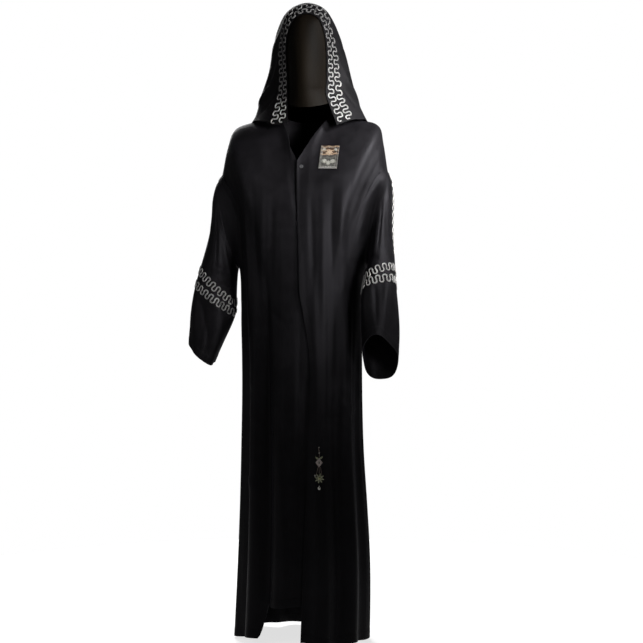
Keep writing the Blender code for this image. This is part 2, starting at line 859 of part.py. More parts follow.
def braid(name, line, normals, tree, wave, period, material):
    """A serpentine braid laid along a line on a cloth: flat below and ridged on top."""
    seg = np.linalg.norm(np.diff(line, axis=0), axis=1)
    run = np.concatenate([[0], np.cumsum(seg)])
    turns = max(1, round(run[-1] / period))
    steps = turns * 6
    at = np.linspace(0, run[-1], steps + 1)
    phase = at / run[-1] * turns * 2 * math.pi
    at = np.clip(at - 0.1 * period * np.sin(2 * phase), 0, run[-1])
    out = unit(read_off(run, normals, at))
    ahead = unit(read_off(run, line, at + 1 * MM) - read_off(run, line, at - 1 * MM))
    side = unit(np.cross(out, ahead))
    middle = read_off(run, line, at) + side * (wave * np.sin(phase))[:, None]
    across = unit(np.cross(out, np.gradient(middle, axis=0))) * BRAID_WIDTH / 2
    low = [snapped(tree, m - a, o, BRAID_LIFT) for m, a, o in zip(middle, across, out)]
    high = [snapped(tree, m + a, o, BRAID_LIFT) for m, a, o in zip(middle, across, out)]
    count = len(middle)
    checks = [(k, k + count) for k in range(count)]
    checks += [(k, k + 1) for k in range(count - 1)]
    checks += [(k + count, k + count + 1) for k in range(count - 1)]
    checks += [(k, k, k, k + 1) for k in range(2 * count - 1) if k != count - 1]
    checks += [(k, k + 1, k + 1, k + 1) for k in range(2 * count - 1) if k != count - 1]
    checks += [(k, k + count + 1) for k in range(count - 1)]
    checks += [(k + 1, k + count) for k in range(count - 1)]
    base = lifted(low + high, np.concatenate([out, out]), checks, tree, BRAID_LIFT)
    points = []
    for k in range(count):
        ridge = (base[k] + base[k + count]) / 2 + out[k] * BRAID_HEIGHT
        points += [base[k], base[k + count], ridge]
    faces = [(0, 1, 2)]
    for k in range(len(middle) - 1):
        a = 3 * k
        for p, q in ((0, 1), (1, 2), (2, 0)):
            faces += [(a + p, a + 3 + p, a + 3 + q), (a + p, a + 3 + q, a + q)]
    end = 3 * (len(middle) - 1)
    faces.append((end, end + 2, end + 1))
    return solid(name, points, faces, material)


def plate(name, sizes, tree, material, relief, rows, cols):
    """A thin raised panel on the front of the robe, its face shaped by a relief."""
    outer, inner = [], []
    centre = np.array(sizes["centre"]) * MM
    width, height = sizes["width"] * MM, sizes["height"] * MM
    _, facing, _, _ = tree.find_nearest(Vector(centre))
    forward = unit(np.array(facing))
    for i in range(rows + 1):
        for j in range(cols + 1):
            u, v = 2 * j / cols - 1, 1 - 2 * i / rows
            half, rise = relief(u, v)
            x = u * half * width / 2
            z = v * height / 2
            place = centre + np.array([x + sizes["lean"] * z, 0, z])
            inner.append(snapped(tree, place, forward, ORNAMENT_LIFT))
            outer.append(rise)
    ways = np.tile(forward, (len(inner), 1))
    inner = lifted(inner, ways, cell_checks(rows + 1, cols + 1), tree, ORNAMENT_LIFT)
    outer = [list(p + forward * rise) for p, rise in zip(inner, outer)]
    inner = [list(p) for p in inner]
    size = len(outer)
    wide = cols + 1
    faces = []
    for i in range(rows):
        for j in range(cols):
            a = i * wide + j
            b, c, d = a + 1, a + wide + 1, a + wide
            faces += [(a, c, b), (a, d, c)]
            faces += [(b + size, c + size, a + size), (c + size, d + size, a + size)]
    rim = [(j, j + 1) for j in range(cols)]
    rim += [(rows * wide + j + 1, rows * wide + j) for j in range(cols)]
    rim += [(i * wide + cols, (i + 1) * wide + cols) for i in range(rows)]
    rim += [((i + 1) * wide, i * wide) for i in range(rows)]
    for a, b in rim:
        faces += [(a, b, b + size), (a, b + size, a + size)]
    return solid(name, outer + inner, faces, material)


def badge_relief(u, v):
    """Raised frame round the edge and an eight-pointed star in the middle."""
    edge = max(abs(u), abs(v)) > 0.8
    turn = math.atan2(v, u)
    star = math.hypot(u, v) < 0.42 + 0.12 * math.cos(8 * turn)
    return 1.0, (2.2 if edge else 2.0 if star else 1.3) * MM


def drop_relief(u, v):
    """Outline of a flower, two leaves, a bud and a drop, thickest along the middle."""
    heights, halves = zip(*DROP_OUTLINE)
    return float(np.interp(v, heights, halves)), (2.4 - 1.2 * abs(u)) * MM


def stud(name, centre, radius, height, tree, material):
    """A small round press stud on the front."""
    _, facing, _, _ = tree.find_nearest(Vector(centre))
    forward = unit(np.array(facing))
    middle = snapped(tree, centre, forward, ORNAMENT_LIFT + 0.15 * MM)
    right = unit(np.cross(forward, [0, 0, 1]))
    upward = np.cross(right, forward)
    points, faces = [], []
    rings = ((0.82, 0.0), (1.0, 0.35), (0.9, 0.75), (0.45, 1.0))
    count = 12
    for share, up in rings:
        for k in range(count):
            turn = 2 * math.pi * k / count
            spoke = right * math.cos(turn) + upward * math.sin(turn)
            points.append(middle + spoke * radius * share + forward * height * up)
    for r in range(len(rings) - 1):
        for k in range(count):
            a, b = r * count + k, r * count + (k + 1) % count
            faces += [(a, b, b + count), (a, b + count, a + count)]
    top = (len(rings) - 1) * count
    faces += [(0, k + 1, k) for k in range(1, count - 1)]
    faces += [(top, top + k, top + k + 1) for k in range(1, count - 1)]
    return solid(name, points, faces, material)


def material(name, colour, roughness, metallic=0.0, alpha=1.0):
    """A plain surface of one colour."""
    made = bpy.data.materials.new(name)
    made.use_nodes = True
    shader = made.node_tree.nodes["Principled BSDF"]
    shader.inputs["Base Color"].default_value = (*colour, 1)
    shader.inputs["Roughness"].default_value = roughness
    shader.inputs["Metallic"].default_value = metallic
    shader.inputs["Alpha"].default_value = alpha
    made.diffuse_color = (*colour, alpha)
    return made


def robe():
    """The fronts, back and sleeves, whose seams share their edges."""
    order = ("front_right", "front_left", "back_right", "back_left", "sleeve_right", "sleeve_left")
    grids = {
        "front_right": quarter("right", True)[:, ::-1],
        "front_left": quarter("left", True),
        "back_right": quarter("right", False),
        "back_left": quarter("left", False)[:, ::-1],
        "sleeve_right": sleeve_grid("right"),
        "sleeve_left": sleeve_grid("left")[:, ::-1],
    }
    armholes = [grids["sleeve_right"][0], grids["sleeve_left"][0]]
    grids = dict(zip(order, evened([grids[k] for k in order], armholes, ARMHOLE_REACH, 60)))
    normals = dict(zip(order, joined_normals([grids[k] for k in order])))
    grids["back"] = np.concatenate([grids["back_left"], grids["back_right"][:, 1:]], axis=1)
    normals["back"] = np.concatenate([normals["back_left"], normals["back_right"][:, 1:]], axis=1)
    sides = {
        "front_right": ("top", "start"),
        "front_left": ("top", "end"),
        "back": ("top", "start", "end"),
        "sleeve_right": ("top",),
        "sleeve_left": ("top",),
    }
    made = {}
    for name, seams in sides.items():
        cloth = material(name, (0.012, 0.012, 0.014), 0.55)
        grid = drawn_in(grids[name], normals[name], seams)
        made[name] = wall(name, grid, normals[name], cloth, wrap=name.startswith("sleeve"))
    return made, grids, normals


def sleeve_braids(made, grids, normals):
    """Two rows round each sleeve and one down its overarm."""
    for side in ("right", "left"):
        name = f"sleeve_{side}"
        tree = tree_of(made[name])
        grid, out = grids[name], normals[name]
        for row_name, places in (("upper", UPPER_BRAID_AT), ("lower", LOWER_BRAID_AT)):
            row = places[side] * SLEEVE_ROWS
            i, a = int(row), row - int(row)
            line = grid[i] * (1 - a) + grid[i + 1] * a
            normal = unit(out[i] * (1 - a) + out[i + 1] * a)
            half = ARMHOLE_COLUMNS
            order = [(half + k) % (2 * half) for k in range(2 * half)] + [half]
            line, normal = line[order], normal[order]
            line[0] += 0.06 * (line[1] - line[0])
            line[-1] += 0.06 * (line[-2] - line[-1])
            silver = material(f"{name}_braid_{row_name}", (0.42, 0.43, 0.42), 0.4, 0.3)
            braid(f"{name}_braid_{row_name}", line, normal, tree, 7 * MM, 20 * MM, silver)
        last = UPPER_BRAID_AT[side] * SLEEVE_ROWS - 1.0
        rows = np.linspace(0.25, last, 12)
        line = np.array([on_grid(grid, out, r, 0, 0.0) for r in rows])
        normal = np.array([out[int(round(r)), 0] for r in rows])
        silver = material(f"{name}_seam_braid", (0.42, 0.43, 0.42), 0.4, 0.3)
        braid(f"{name}_seam_braid", line, normal, tree, 5 * MM, 20 * MM, silver)


def veils(made):
    """The head veil resting on the robe's shoulders, its braids, and the face veil inside it."""
    rests = tree_of(made["front_right"], made["front_left"], made["back"])
    grid = veil_grid()
    shape = grid.shape
    ways = unit(joined_normals([grid])[0].reshape(-1, 3) + np.array([0.0, 0.0, 1.0]))
    checks = cell_checks(shape[0], shape[1])
    grid = lifted(grid.reshape(-1, 3), ways, checks, rests, CLOTH / 2 + VEIL_REST).reshape(shape)
    normal = joined_normals([grid])[0]
    black = material("head_veil", (0.014, 0.014, 0.016), 0.6)
    head = wall("head_veil", grid, normal, black)
    tree = tree_of(head)
    rows = (("veil_braid_outer", OUTER_BRAID_IN, 7 * MM), ("veil_braid_inner", INNER_BRAID_IN, 8 * MM))
    for name, distance, wave in rows:
        line, out = inset_line(grid, normal, distance)
        silver = material(name, (0.42, 0.43, 0.42), 0.4, 0.3)
        braid(name, line, out, tree, wave, 23 * MM, silver)
    face = face_grid(grid[:, ::-1], normal[:, ::-1])
    sheer = material("face_veil", (0.02, 0.018, 0.018), 0.5, 0.0, 0.8)
    wall("face_veil", face, joined_normals([face])[0], sheer, thick=1.2 * MM)


def inset_line(grid, normals, distance):
    """A line at a distance inside the first row of a grid."""
    line, out = [], []
    for j in range(grid.shape[1]):
        lengths = np.linalg.norm(np.diff(grid[:, j], axis=0), axis=1)
        steps = np.concatenate([[0], np.cumsum(lengths)])
        row = float(np.interp(distance, steps, np.arange(len(steps))))
        line.append(on_grid(grid, normals, row, min(j, grid.shape[1] - 1.001), 0.0))
        out.append(normals[int(round(row)), j])
    line, out = np.array(line), np.array(out)
    line[0] += 0.25 * (line[1] - line[0])
    line[-1] += 0.25 * (line[-2] - line[-1])
    return line, out


def ornaments(made):
    """The chest badge, the drop low on the left front, and the press stud."""
    tree = tree_of(made["front_left"])
    gold = material("chest_badge", (0.35, 0.27, 0.17), 0.5, 0.2)
    plate("chest_badge", BADGE, tree, gold, badge_relief, 8, 8)
    leaf = material("drop_ornament", (0.45, 0.42, 0.16), 0.5, 0.1)
    plate("drop_ornament", DROP, tree, leaf, drop_relief, 28, 4)
    metal = material("front_snap", (0.05, 0.05, 0.055), 0.3, 0.8)
    stud("front_snap", np.array(SNAP_AT) * MM, 5 * MM, 1.6 * MM, tree, metal)


def main():
    for thing in list(bpy.data.objects):
        bpy.data.objects.remove(thing, do_unlink=True)
    made, grids, normals = robe()
    sleeve_braids(made, grids, normals)
    veils(made)
    ornaments(made)
    shoulders = bpy.data.objects.new("shoulders", None)
    bpy.context.collection.objects.link(shoulders)
    for thing in bpy.data.objects:
        if thing.type == "MESH":
            thing.parent = shoulders


main()
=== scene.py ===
import json
import math

import bpy
import numpy as np
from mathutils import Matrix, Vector
from mathutils.bvhtree import BVHTree

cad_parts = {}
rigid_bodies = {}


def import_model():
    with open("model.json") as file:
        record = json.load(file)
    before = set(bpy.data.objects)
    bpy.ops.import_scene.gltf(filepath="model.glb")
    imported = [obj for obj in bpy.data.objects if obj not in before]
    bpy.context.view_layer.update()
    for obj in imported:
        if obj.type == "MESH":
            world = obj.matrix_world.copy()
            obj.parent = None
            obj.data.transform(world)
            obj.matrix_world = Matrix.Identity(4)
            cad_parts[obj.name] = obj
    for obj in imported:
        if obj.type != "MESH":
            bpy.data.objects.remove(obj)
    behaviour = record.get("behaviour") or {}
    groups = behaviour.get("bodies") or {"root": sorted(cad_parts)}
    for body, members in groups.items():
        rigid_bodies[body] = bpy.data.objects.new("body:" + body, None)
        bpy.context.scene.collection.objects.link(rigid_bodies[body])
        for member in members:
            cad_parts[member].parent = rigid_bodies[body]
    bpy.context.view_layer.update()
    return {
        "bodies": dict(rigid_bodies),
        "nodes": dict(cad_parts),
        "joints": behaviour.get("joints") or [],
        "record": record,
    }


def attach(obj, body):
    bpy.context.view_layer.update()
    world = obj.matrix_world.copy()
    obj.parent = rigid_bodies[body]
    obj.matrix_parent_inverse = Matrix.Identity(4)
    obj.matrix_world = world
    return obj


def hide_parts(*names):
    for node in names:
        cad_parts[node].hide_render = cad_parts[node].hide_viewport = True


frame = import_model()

MM = 0.001
SIDES = ("right", "left")
ROBE_THICK, VEIL_THICK, FACE_THICK = 0.7 * MM, 0.6 * MM, 0.35 * MM
# How wide the cloth is doubled at the robe's hems, its front edges and the head veil's edges.
HEM_TURN, EDGE_TURN, VEIL_TURN = 21 * MM, 12 * MM, 6 * MM
STITCH_PITCH, STITCH_WIDTH = 2.6 * MM, 0.5 * MM
# The stitch rows lie this far from the robe's hem and front edge.
HEM_STITCH, EDGE_STITCH = 21 * MM, 8 * MM

# The cut, as the solids have it: how many rows and columns its tables are laid out in.
UPPER_ROWS, SKIRT_ROWS, SLEEVE_ROWS = 7, 13, 14
NECK_COLUMNS, SHOULDER_COLUMNS, ARMHOLE_COLUMNS = 4, 6, 8
CORNER = NECK_COLUMNS + SHOULDER_COLUMNS
COLUMNS = CORNER + ARMHOLE_COLUMNS
VEIL_ROWS, VEIL_COLUMNS, FACE_COLUMNS = 20, 26, 10
# How many rows or columns of the fine cloth each of them has.
FINE_UPPER, FINE_SKIRT, FINE_COLUMNS, FINE_SLEEVE = 7, 9, 5, 8
FINE_VEIL_ROWS, FINE_VEIL_COLUMNS = 8, 6
FACE_FINE_ROWS, FACE_FINE_COLUMNS = 81, 97

BODY_TOP_Z, WAIST_Z, HEM_Z, FOLDS_FOOT_Z, FLOOR_Z = -400 * MM, -470 * MM, -1398 * MM, -1400 * MM, -1407.5 * MM
CAUGHT_UP, SIDE_Y, SKIRT_REACH = 94 * MM, -8 * MM, 170 * MM
# Angles between which the right front's hem rises to where it is caught up.
CAUGHT_FROM, CAUGHT_TO = -31, -23
LAP_UNDER, LAP_WIDTH, NECK_EASE = 4.2 * MM, 42 * MM, 15 * MM
ARMHOLE_REACH, EVENINGS = 108 * MM, 110
VEIL_CLEAR, SNAP_REACH, FACE_IN, FACE_SAG = 1.6 * MM, 80 * MM, 3 * MM, 13 * MM
# Steps in a metre to which places are rounded where seams are joined, and where normals are shared.
JOIN_STEPS, SHARE_STEPS = 1e5, 2e4
# Sizes in mm of the flat fields in which the sleeves' and the head veil's folds are drawn.
PER_DEGREE, SLEEVE_LONG, VEIL_HALF, VEIL_LONG = 1.25, 500, 520, 900

BODY_COLUMNS = ("z", "mid_x", "half_width", "front_y", "back_y")
BODY_RINGS = (
    (-400, -8, 176, -136, 100), (-470, -9, 168, -138, 102), (-560, -9, 165, -140, 104),
    (-700, -8, 162, -143, 108), (-900, -7, 163, -148, 113), (-1050, -4, 168, -152, 118),
    (-1200, -3, 174, -157, 124), (-1330, -6, 177, -161, 130), (-1412, -9, 178, -163, 132),
)
# Height and how far across the left front's edge runs.
FRONT_EDGE = ((-470, 18), (-630, 44), (-900, 44), (-1150, 34), (-1400, 27))
# Long folds: angle at the waist and the hem, half width in degrees, depth in mm, where it fades in.
FOLDS = (
    (-25, -24, 9, -24, -250), (-12, -11, 9, 9, -300), (-39, -38, 9, 11, -320), (-53, -54, 9, -13, -420),
    (-68, -67, 9, 9, -480), (-83, -84, 9, -10, -560), (17, 15, 8, -9, -300), (31, 32, 10, 9, -430),
    (47, 48, 9, -13, -380), (63, 62, 9, 10, -420), (79, 80, 9, -11, -520), (97, 98, 9, 9, -460),
    (113, 114, 9, -14, -380), (130, 131, 9, 10, -360), (147, 146, 9, -16, -340), (164, 165, 9, 10, -420),
    (181, 180, 9, -13, -300), (199, 198, 9, 11, -380), (215, 216, 9, -17, -340), (232, 231, 9, 9, -420),
    (248, 249, 9, -14, -400), (264, 263, 8, 8, -520),
)
NECK_FRONT = ((-5, -107, -122), (-26, -90, -82), (-50, -64, -38), (-70, -36, -6), (-79, 4, 10))
NECK_BACK = ((0, 66, 0), (-26, 62, 2), (-52, 50, 6), (-70, 30, 10), (-79, 4, 10))
UNDER_CORNER = (20, -104, -150)
SHOULDER = {
    "right": (
        (-79, 4, 10), (-120, 3, 2), (-160, 2, -4), (-190, 2, -14), (-216, 1, -34), (-237, 0, -66),
        (-251, 0, -100), (-260, 0, -135),
    ),
    "left": (
        (79, 4, 10), (120, 3, 2), (160, 2, -8), (190, 2, -16), (215, 1, -33), (232, 0, -67), (242, 0, -101),
        (249, 0, -135),
    ),
}
# How the cloth runs off the top edge: column, then its run out, away from the shoulder line and up.
TOP_RUNS = (
    (0, 0, 0.15, -1.0), (4, 0, 0.75, -0.45), (7.6, 0.15, 0.95, -0.3), (10, 0.62, 0.36, -0.2),
    (12, 0.68, 0.2, -0.35), (14, 0.75, 0.12, -0.55), (16, 0.7, 0.05, -0.75), (18, 0.35, 0.0, -0.9),
)
SLEEVE_COLUMNS = ("along", "out_x", "out_z", "in_x", "in_z", "mid_y", "half_depth", "front_lift")
SLEEVES = {
    "right": (
        (0.0, -260, -135, -183, -405, 0, 72, 0), (0.12, -254, -190, -193, -413, -4, 71, 2),
        (0.25, -251, -250, -196, -428, -10, 68, 4), (0.38, -268, -317, -194, -456, -19, 64, 4),
        (0.52, -286, -390, -190, -488, -29, 60, 2), (0.62, -296, -440, -190, -514, -37, 57, 0),
        (0.74, -305, -500, -196, -548, -45, 54, -2), (0.87, -309, -556, -214, -600, -51, 51, -4),
        (1.0, -310, -611, -244, -668, -55, 46, -6),
    ),
    "left": (
        (0.0, 249, -135, 169, -405, 0, 72, 0), (0.12, 242, -190, 179, -411, -8, 74, 2),
        (0.25, 243, -250, 182, -418, -18, 75, 6), (0.38, 249, -317, 180, -425, -30, 74, 10),
        (0.52, 257, -392, 175, -436, -43, 72, 14), (0.62, 262, -440, 172, -466, -52, 70, 20),
        (0.74, 265, -500, 170, -516, -61, 68, 30), (0.87, 267, -570, 171, -582, -68, 66, 44),
        (1.0, 267, -640, 175, -654, -72, 64, 60),
    ),
}
# The two rings of braid: share of the way down, how far below it the ring sits and how far its
# underarm side sits lower still, in mm.
RING_BRAIDS = {
    "right": {"upper": (0.535, 6, 2), "lower": (0.62, 2, 8)},
    "left": {"upper": (0.565, 0, 2), "lower": (0.635, 0, 3)},
}
# The two rows on the head veil: how far in from its front edge, how much further in at the ends and
# how far the braid swings to each side, in mm.
VEIL_BRAIDS = {"veil_braid_outer": (13, 3, 9.3), "veil_braid_inner": (34, 8, 10.3)}
# Swing and pitch of the braid on the rings and down the overarm.
VEIL_PITCH, RING_TURNS, SEAM_TURNS = 23 * MM, (9.6 * MM, 19.5 * MM), (5 * MM, 20 * MM)
# Lines of the head veil: share across, then points from its front edge to its back hem.
VEIL_LINES = (
    (-1.0, ((-32, -70, -16), (-66, -62, -20), (-106, -42, -6), (-152, 6, -4), (-172, 52, -42),
        (-184, 88, -120), (-190, 108, -250), (-196, 118, -430))),
    (-0.85, ((-33, -62, 44), (-60, -42, 42), (-110, -10, 40), (-144, 22, 30), (-138, 70, -10),
        (-146, 100, -105), (-160, 118, -246), (-166, 127, -434))),
    (-0.62, ((-34, -58, 98), (-58, -36, 100), (-96, -2, 98), (-132, 30, 80), (-101, 84, 28),
        (-104, 108, -90), (-122, 126, -240), (-130, 134, -436))),
    (-0.32, ((-33, -66, 218), (-60, -34, 224), (-91, 8, 222), (-84, 56, 196), (-58, 96, 130),
        (-56, 112, -30), (-62, 128, -210), (-66, 136, -440))),
    (-0.16, ((-14, -74, 258), (-40, -46, 282), (-60, 8, 283), (-52, 60, 262), (-34, 99, 184),
        (-28, 112, 0), (-31, 128, -204), (-33, 136, -440))),
    (0.0, ((22, -80, 272), (14, -50, 304), (2, 6, 316), (2, 62, 288), (1, 100, 215),
        (0, 112, 20), (0, 128, -200), (0, 136, -440))),
    (0.16, ((56, -76, 258), (66, -46, 283), (64, 8, 283), (55, 60, 263), (36, 99, 184),
        (29, 112, 0), (31, 128, -204), (33, 136, -440))),
    (0.32, ((70, -66, 216), (80, -36, 222), (94, 8, 224), (86, 56, 196), (60, 96, 130),
        (58, 112, -30), (63, 128, -210), (66, 136, -440))),
    (0.62, ((74, -58, 98), (98, -34, 100), (124, 0, 94), (131, 34, 72), (102, 84, 26),
        (106, 108, -90), (123, 126, -240), (130, 134, -436))),
    (0.85, ((76, -62, 46), (110, -42, 42), (138, -6, 40), (151, 24, 26), (146, 70, -14),
        (148, 100, -107), (161, 118, -247), (167, 127, -434))),
    (1.0, ((104, -66, -26), (134, -44, -12), (156, -16, -6), (170, 8, -8), (176, 52, -46),
        (186, 88, -122), (191, 108, -252), (197, 118, -432))),
)
VEIL_STATIONS = (0.0, 0.055, 0.135, 0.23, 0.34, 0.5, 0.72, 1.0)
# Where the rows next to the head veil's front edge lie, as shares of the way down.
VEIL_NEAR = (0, 0.018, 0.036, 0.058, 0.085, 0.12)
# Rows of the face veil: how many columns of the head veil out its sides lie, and how far forward.
FACE_LINE = (
    (2.3, -90), (3.6, -98), (4.9, -104), (6.2, -107), (7.5, -108), (8.8, -105), (10.1, -101), (11.45, -98),
)
BADGE = {"centre": (89, -105, -108), "width": 49, "height": 72, "lean": 0.06}
DROP = {"centre": (73, -140, -937), "lean": 0.0}
SNAP_AT = (18, -115, -137)
# Finer folds of the robe: angle, half width in degrees, depth in mm, heights where they start and end.
FINE_FOLDS = (
    (-6, 2.6, 2.4, -240, -1500), (-18, 2.2, 2.6, -520, -1500), (-31, 2.8, -2.4, -300, -1100),
    (-45, 3.0, 2.6, -360, -1500), (-61, 3.2, -2.6, -460, -1500), (-75, 2.6, 2.2, -380, -1200),
    (9, 2.4, -2.2, -420, -1500), (23, 2.8, 2.6, -250, -900), (39, 3.2, -2.8, -330, -1500),
    (54, 2.8, 2.4, -480, -1500), (70, 3.2, -2.4, -400, -1500), (88, 2.8, 2.2, -520, -1500),
    (105, 3.2, -2.6, -420, -1500), (121, 2.8, 2.4, -330, -1500), (138, 3.4, -2.8, -280, -1500),
    (156, 2.8, 2.4, -360, -1500), (172, 3.2, -2.6, -420, -1500), (190, 3.0, 2.4, -300, -1500),
    (207, 2.8, -2.6, -340, -1500), (224, 3.2, 2.6, -420, -1500), (240, 2.8, -2.4, -360, -1500),
    (257, 3.2, 2.4, -440, -1500), (272, 2.6, -2.2, -500, -1500),
)
# Creases seen from the front or back: side, across and height of each end, width and depth in mm.
CREASES = (
    (1, -165, -150, -92, -168, 16, 3.0), (1, 60, -184, 138, -162, 18, 2.6),
    (1, -168, -190, -150, -520, 8, -3.9), (1, -141, -182, -128, -590, 8, 3.8),
    (1, -114, -196, -105, -470, 7, -3.5), (1, -87, -200, -85, -620, 7, 3.6),
    (1, -58, -222, -60, -450, 7, -2.9), (1, 48, -228, 56, -480, 8, -2.6), (1, 76, -214, 80, -580, 8, 2.2),
    (1, 103, -206, 100, -450, 8, -2.9), (1, 128, -196, 121, -540, 8, 3.1),
    (1, 152, -182, 138, -420, 8, -3.4), (1, -196, -190, -160, -300, 9, -2.1),
    (1, 190, -180, 158, -290, 9, -2.1), (1, -60, -520, -20, -560, 10, -2.0),
    (1, -40, -548, 10, -530, 9, 1.6), (1, 110, -760, 150, -790, 9, 2.2), (1, 96, -800, 150, -812, 8, -1.8),
    (1, -130, -700, -90, -742, 10, 1.8), (1, -140, -960, -96, -1010, 12, 1.8),
    (1, -180, -40, -150, -130, 14, -1.0), (1, 176, -36, 150, -128, 14, -1.0),
    (1, -110, -40, -90, -150, 13, 0.8), (1, 120, -36, 104, -120, 13, 0.7),
    (-1, -160, -150, -60, -210, 20, 1.8), (-1, 60, -215, 160, -150, 20, 1.8),
    (-1, -120, -230, -108, -420, 10, -2.0), (-1, -64, -240, -60, -430, 10, 1.7),
    (-1, 10, -230, 6, -450, 10, -1.8), (-1, 70, -236, 74, -420, 10, 1.7),
    (-1, 128, -228, 120, -410, 10, -2.0), (-1, -60, -600, 20, -650, 12, 2.0),
    (-1, 40, -560, 110, -590, 11, -1.8), (-1, -120, -900, -50, -950, 13, 1.8),
    (-1, 30, -1010, 110, -1060, 13, -1.8), (-1, -180, -60, -150, -150, 14, -1.4),
    (-1, 176, -56, 150, -150, 14, -1.4),
)
# Folds of each sleeve: turn and share of the way down at each end, width in mm, depth in mm.
SLEEVE_CREASES = {
    "right": (
        (70, 0.05, 95, 0.45, 8, -2.6), (30, 0.08, 40, 0.4, 8, 2.2), (110, 0.06, 150, 0.36, 9, 2.6),
        (150, 0.3, 60, 0.5, 9, -3.0), (165, 0.42, 80, 0.56, 8, 2.4), (40, 0.56, 140, 0.72, 9, 2.6),
        (60, 0.64, 120, 0.95, 9, -2.8), (20, 0.6, 30, 0.97, 8, 2.0), (95, 0.74, 100, 1.0, 8, 2.2),
        (-40, 0.08, -60, 0.45, 9, 2.4), (-90, 0.12, -120, 0.5, 9, -2.6), (-150, 0.35, -70, 0.55, 9, 2.4),
        (-60, 0.6, -110, 0.95, 9, -2.4), (-20, 0.3, -30, 0.6, 8, -2.0), (-140, 0.6, -150, 0.97, 9, 2.2),
    ),
    "left": (
        (60, 0.04, 80, 0.5, 8, -2.8), (35, 0.06, 30, 0.44, 8, 2.2), (100, 0.05, 120, 0.42, 9, 2.8),
        (85, 0.1, 100, 0.52, 8, 2.0), (140, 0.28, 70, 0.52, 9, -2.6), (160, 0.44, 90, 0.6, 8, 2.4),
        (50, 0.62, 60, 0.98, 9, 2.4), (90, 0.66, 80, 0.98, 9, -2.8), (130, 0.6, 120, 0.92, 8, 2.2),
        (-40, 0.1, -55, 0.48, 9, -2.4), (-95, 0.08, -110, 0.46, 9, 2.4), (-150, 0.32, -80, 0.54, 9, -2.4),
        (-60, 0.62, -90, 0.97, 9, 2.4), (-130, 0.62, -140, 0.97, 9, -2.2), (-15, 0.34, -20, 0.66, 8, 2.0),
    ),
}
# Folds of the head veil: across and down shares of each end, width and depth in mm.
VEIL_CREASES = (
    (-0.34, 0.1, -0.86, 0.42, 13, 3.0), (-0.22, 0.16, -0.6, 0.52, 12, -2.6),
    (-0.48, 0.08, -0.94, 0.3, 11, -2.4), (0.34, 0.1, 0.86, 0.42, 13, 3.0),
    (0.24, 0.15, 0.62, 0.52, 12, -2.8), (0.5, 0.08, 0.95, 0.3, 11, -2.2), (-0.1, 0.2, -0.3, 0.6, 12, 2.4),
    (0.12, 0.22, 0.28, 0.6, 12, 2.2), (0.02, 0.3, -0.02, 0.95, 12, -2.6), (-0.3, 0.45, -0.36, 1.0, 11, 2.8),
    (-0.52, 0.42, -0.55, 1.0, 12, -3.0), (-0.74, 0.44, -0.72, 1.0, 11, 2.6),
    (0.22, 0.45, 0.24, 1.0, 11, -2.6), (0.44, 0.42, 0.47, 1.0, 12, 3.0), (0.68, 0.44, 0.66, 1.0, 11, -2.8),
    (0.86, 0.46, 0.84, 1.0, 11, 2.4), (-0.9, 0.46, -0.88, 1.0, 11, -2.2), (0.06, 0.1, 0.3, 0.12, 8, 1.6),
)
# Section of the braid, shares of its width and height: two ribs with a furrow between them.
BRAID_SECTION = (
    (-0.47, 0.0), (-0.52, 0.42), (-0.43, 0.84), (-0.27, 1.0), (-0.11, 0.86), (0.0, 0.52), (0.11, 0.86),
    (0.27, 1.0), (0.43, 0.84), (0.52, 0.42), (0.47, 0.0),
)
BRAID_WIDTH, BRAID_HEIGHT, BRAID_ROUND = 3.1 * MM, 1.6 * MM, 11 * MM


def ease(low, high, x):
    """0 below low, 1 above high and smooth between."""
    t = np.clip((np.asarray(x, float) - low) / (high - low), 0, 1)
    return t * t * (3 - 2 * t)


def unit(v):
    return v / np.maximum(np.linalg.norm(v, axis=-1, keepdims=True), 1e-12)


def arc(t, start, leaving, end, arriving, scale):
    """Points of a smooth arc between two points, leaving and arriving along two runs."""
    return (
        (2 * t**3 - 3 * t**2 + 1) * start
        + (t**3 - 2 * t**2 + t) * scale * leaving
        + (3 * t**2 - 2 * t**3) * end
        + (t**3 - t**2) * scale * arriving
    )


def through(keys, values, at):
    """A smooth line through values at rising keys."""
    keys = np.asarray(keys, float)
    values = np.asarray(values, float).reshape(len(keys), -1)
    at = np.clip(np.atleast_1d(np.asarray(at, float)), keys[0], keys[-1])
    slope = np.gradient(values, keys, axis=0)
    i = np.clip(np.searchsorted(keys, at) - 1, 0, len(keys) - 2)
    step = (keys[i + 1] - keys[i])[:, None]
    return arc((at - keys[i])[:, None] / step, values[i], slope[i], values[i + 1], slope[i + 1], step)


def finer(grid, rows, cols):
    """A grid of points or moves read smoothly at rows and columns between its own."""
    wide = through(range(grid.shape[0]), grid, rows).reshape(len(rows), grid.shape[1], -1)
    turned = through(range(grid.shape[1]), wide.transpose(1, 0, 2), cols)
    return turned.reshape(len(cols), len(rows), -1).transpose(1, 0, 2)


def run_of(points, axis=0):
    """Length from the first point, along a line or along the lines of a grid."""
    steps = np.linalg.norm(np.diff(points, axis=axis), axis=-1)
    return np.insert(np.cumsum(steps, axis=axis), 0, 0, axis=axis)


def lengths(grid):
    """Length along each row and down each column of a grid."""
    return run_of(grid, 1), run_of(grid, 0)


def along_points(points, at):
    """Points at shares of the length of a smooth line through points in mm."""
    points = np.asarray(points, float) * MM
    chord = run_of(points)
    return through(chord / chord[-1], points, at)


def column(table, names, name, at):
    """One named column of a table, read smoothly at a value of its first column."""
    rows = np.asarray(sorted(table), float)
    scale = 1 if names[0] == "along" else MM
    return through(rows[:, 0] * scale, rows[:, names.index(name)] * MM, at)[:, 0]


def body_ring(name, z):
    return column(BODY_RINGS, BODY_COLUMNS, name, z)


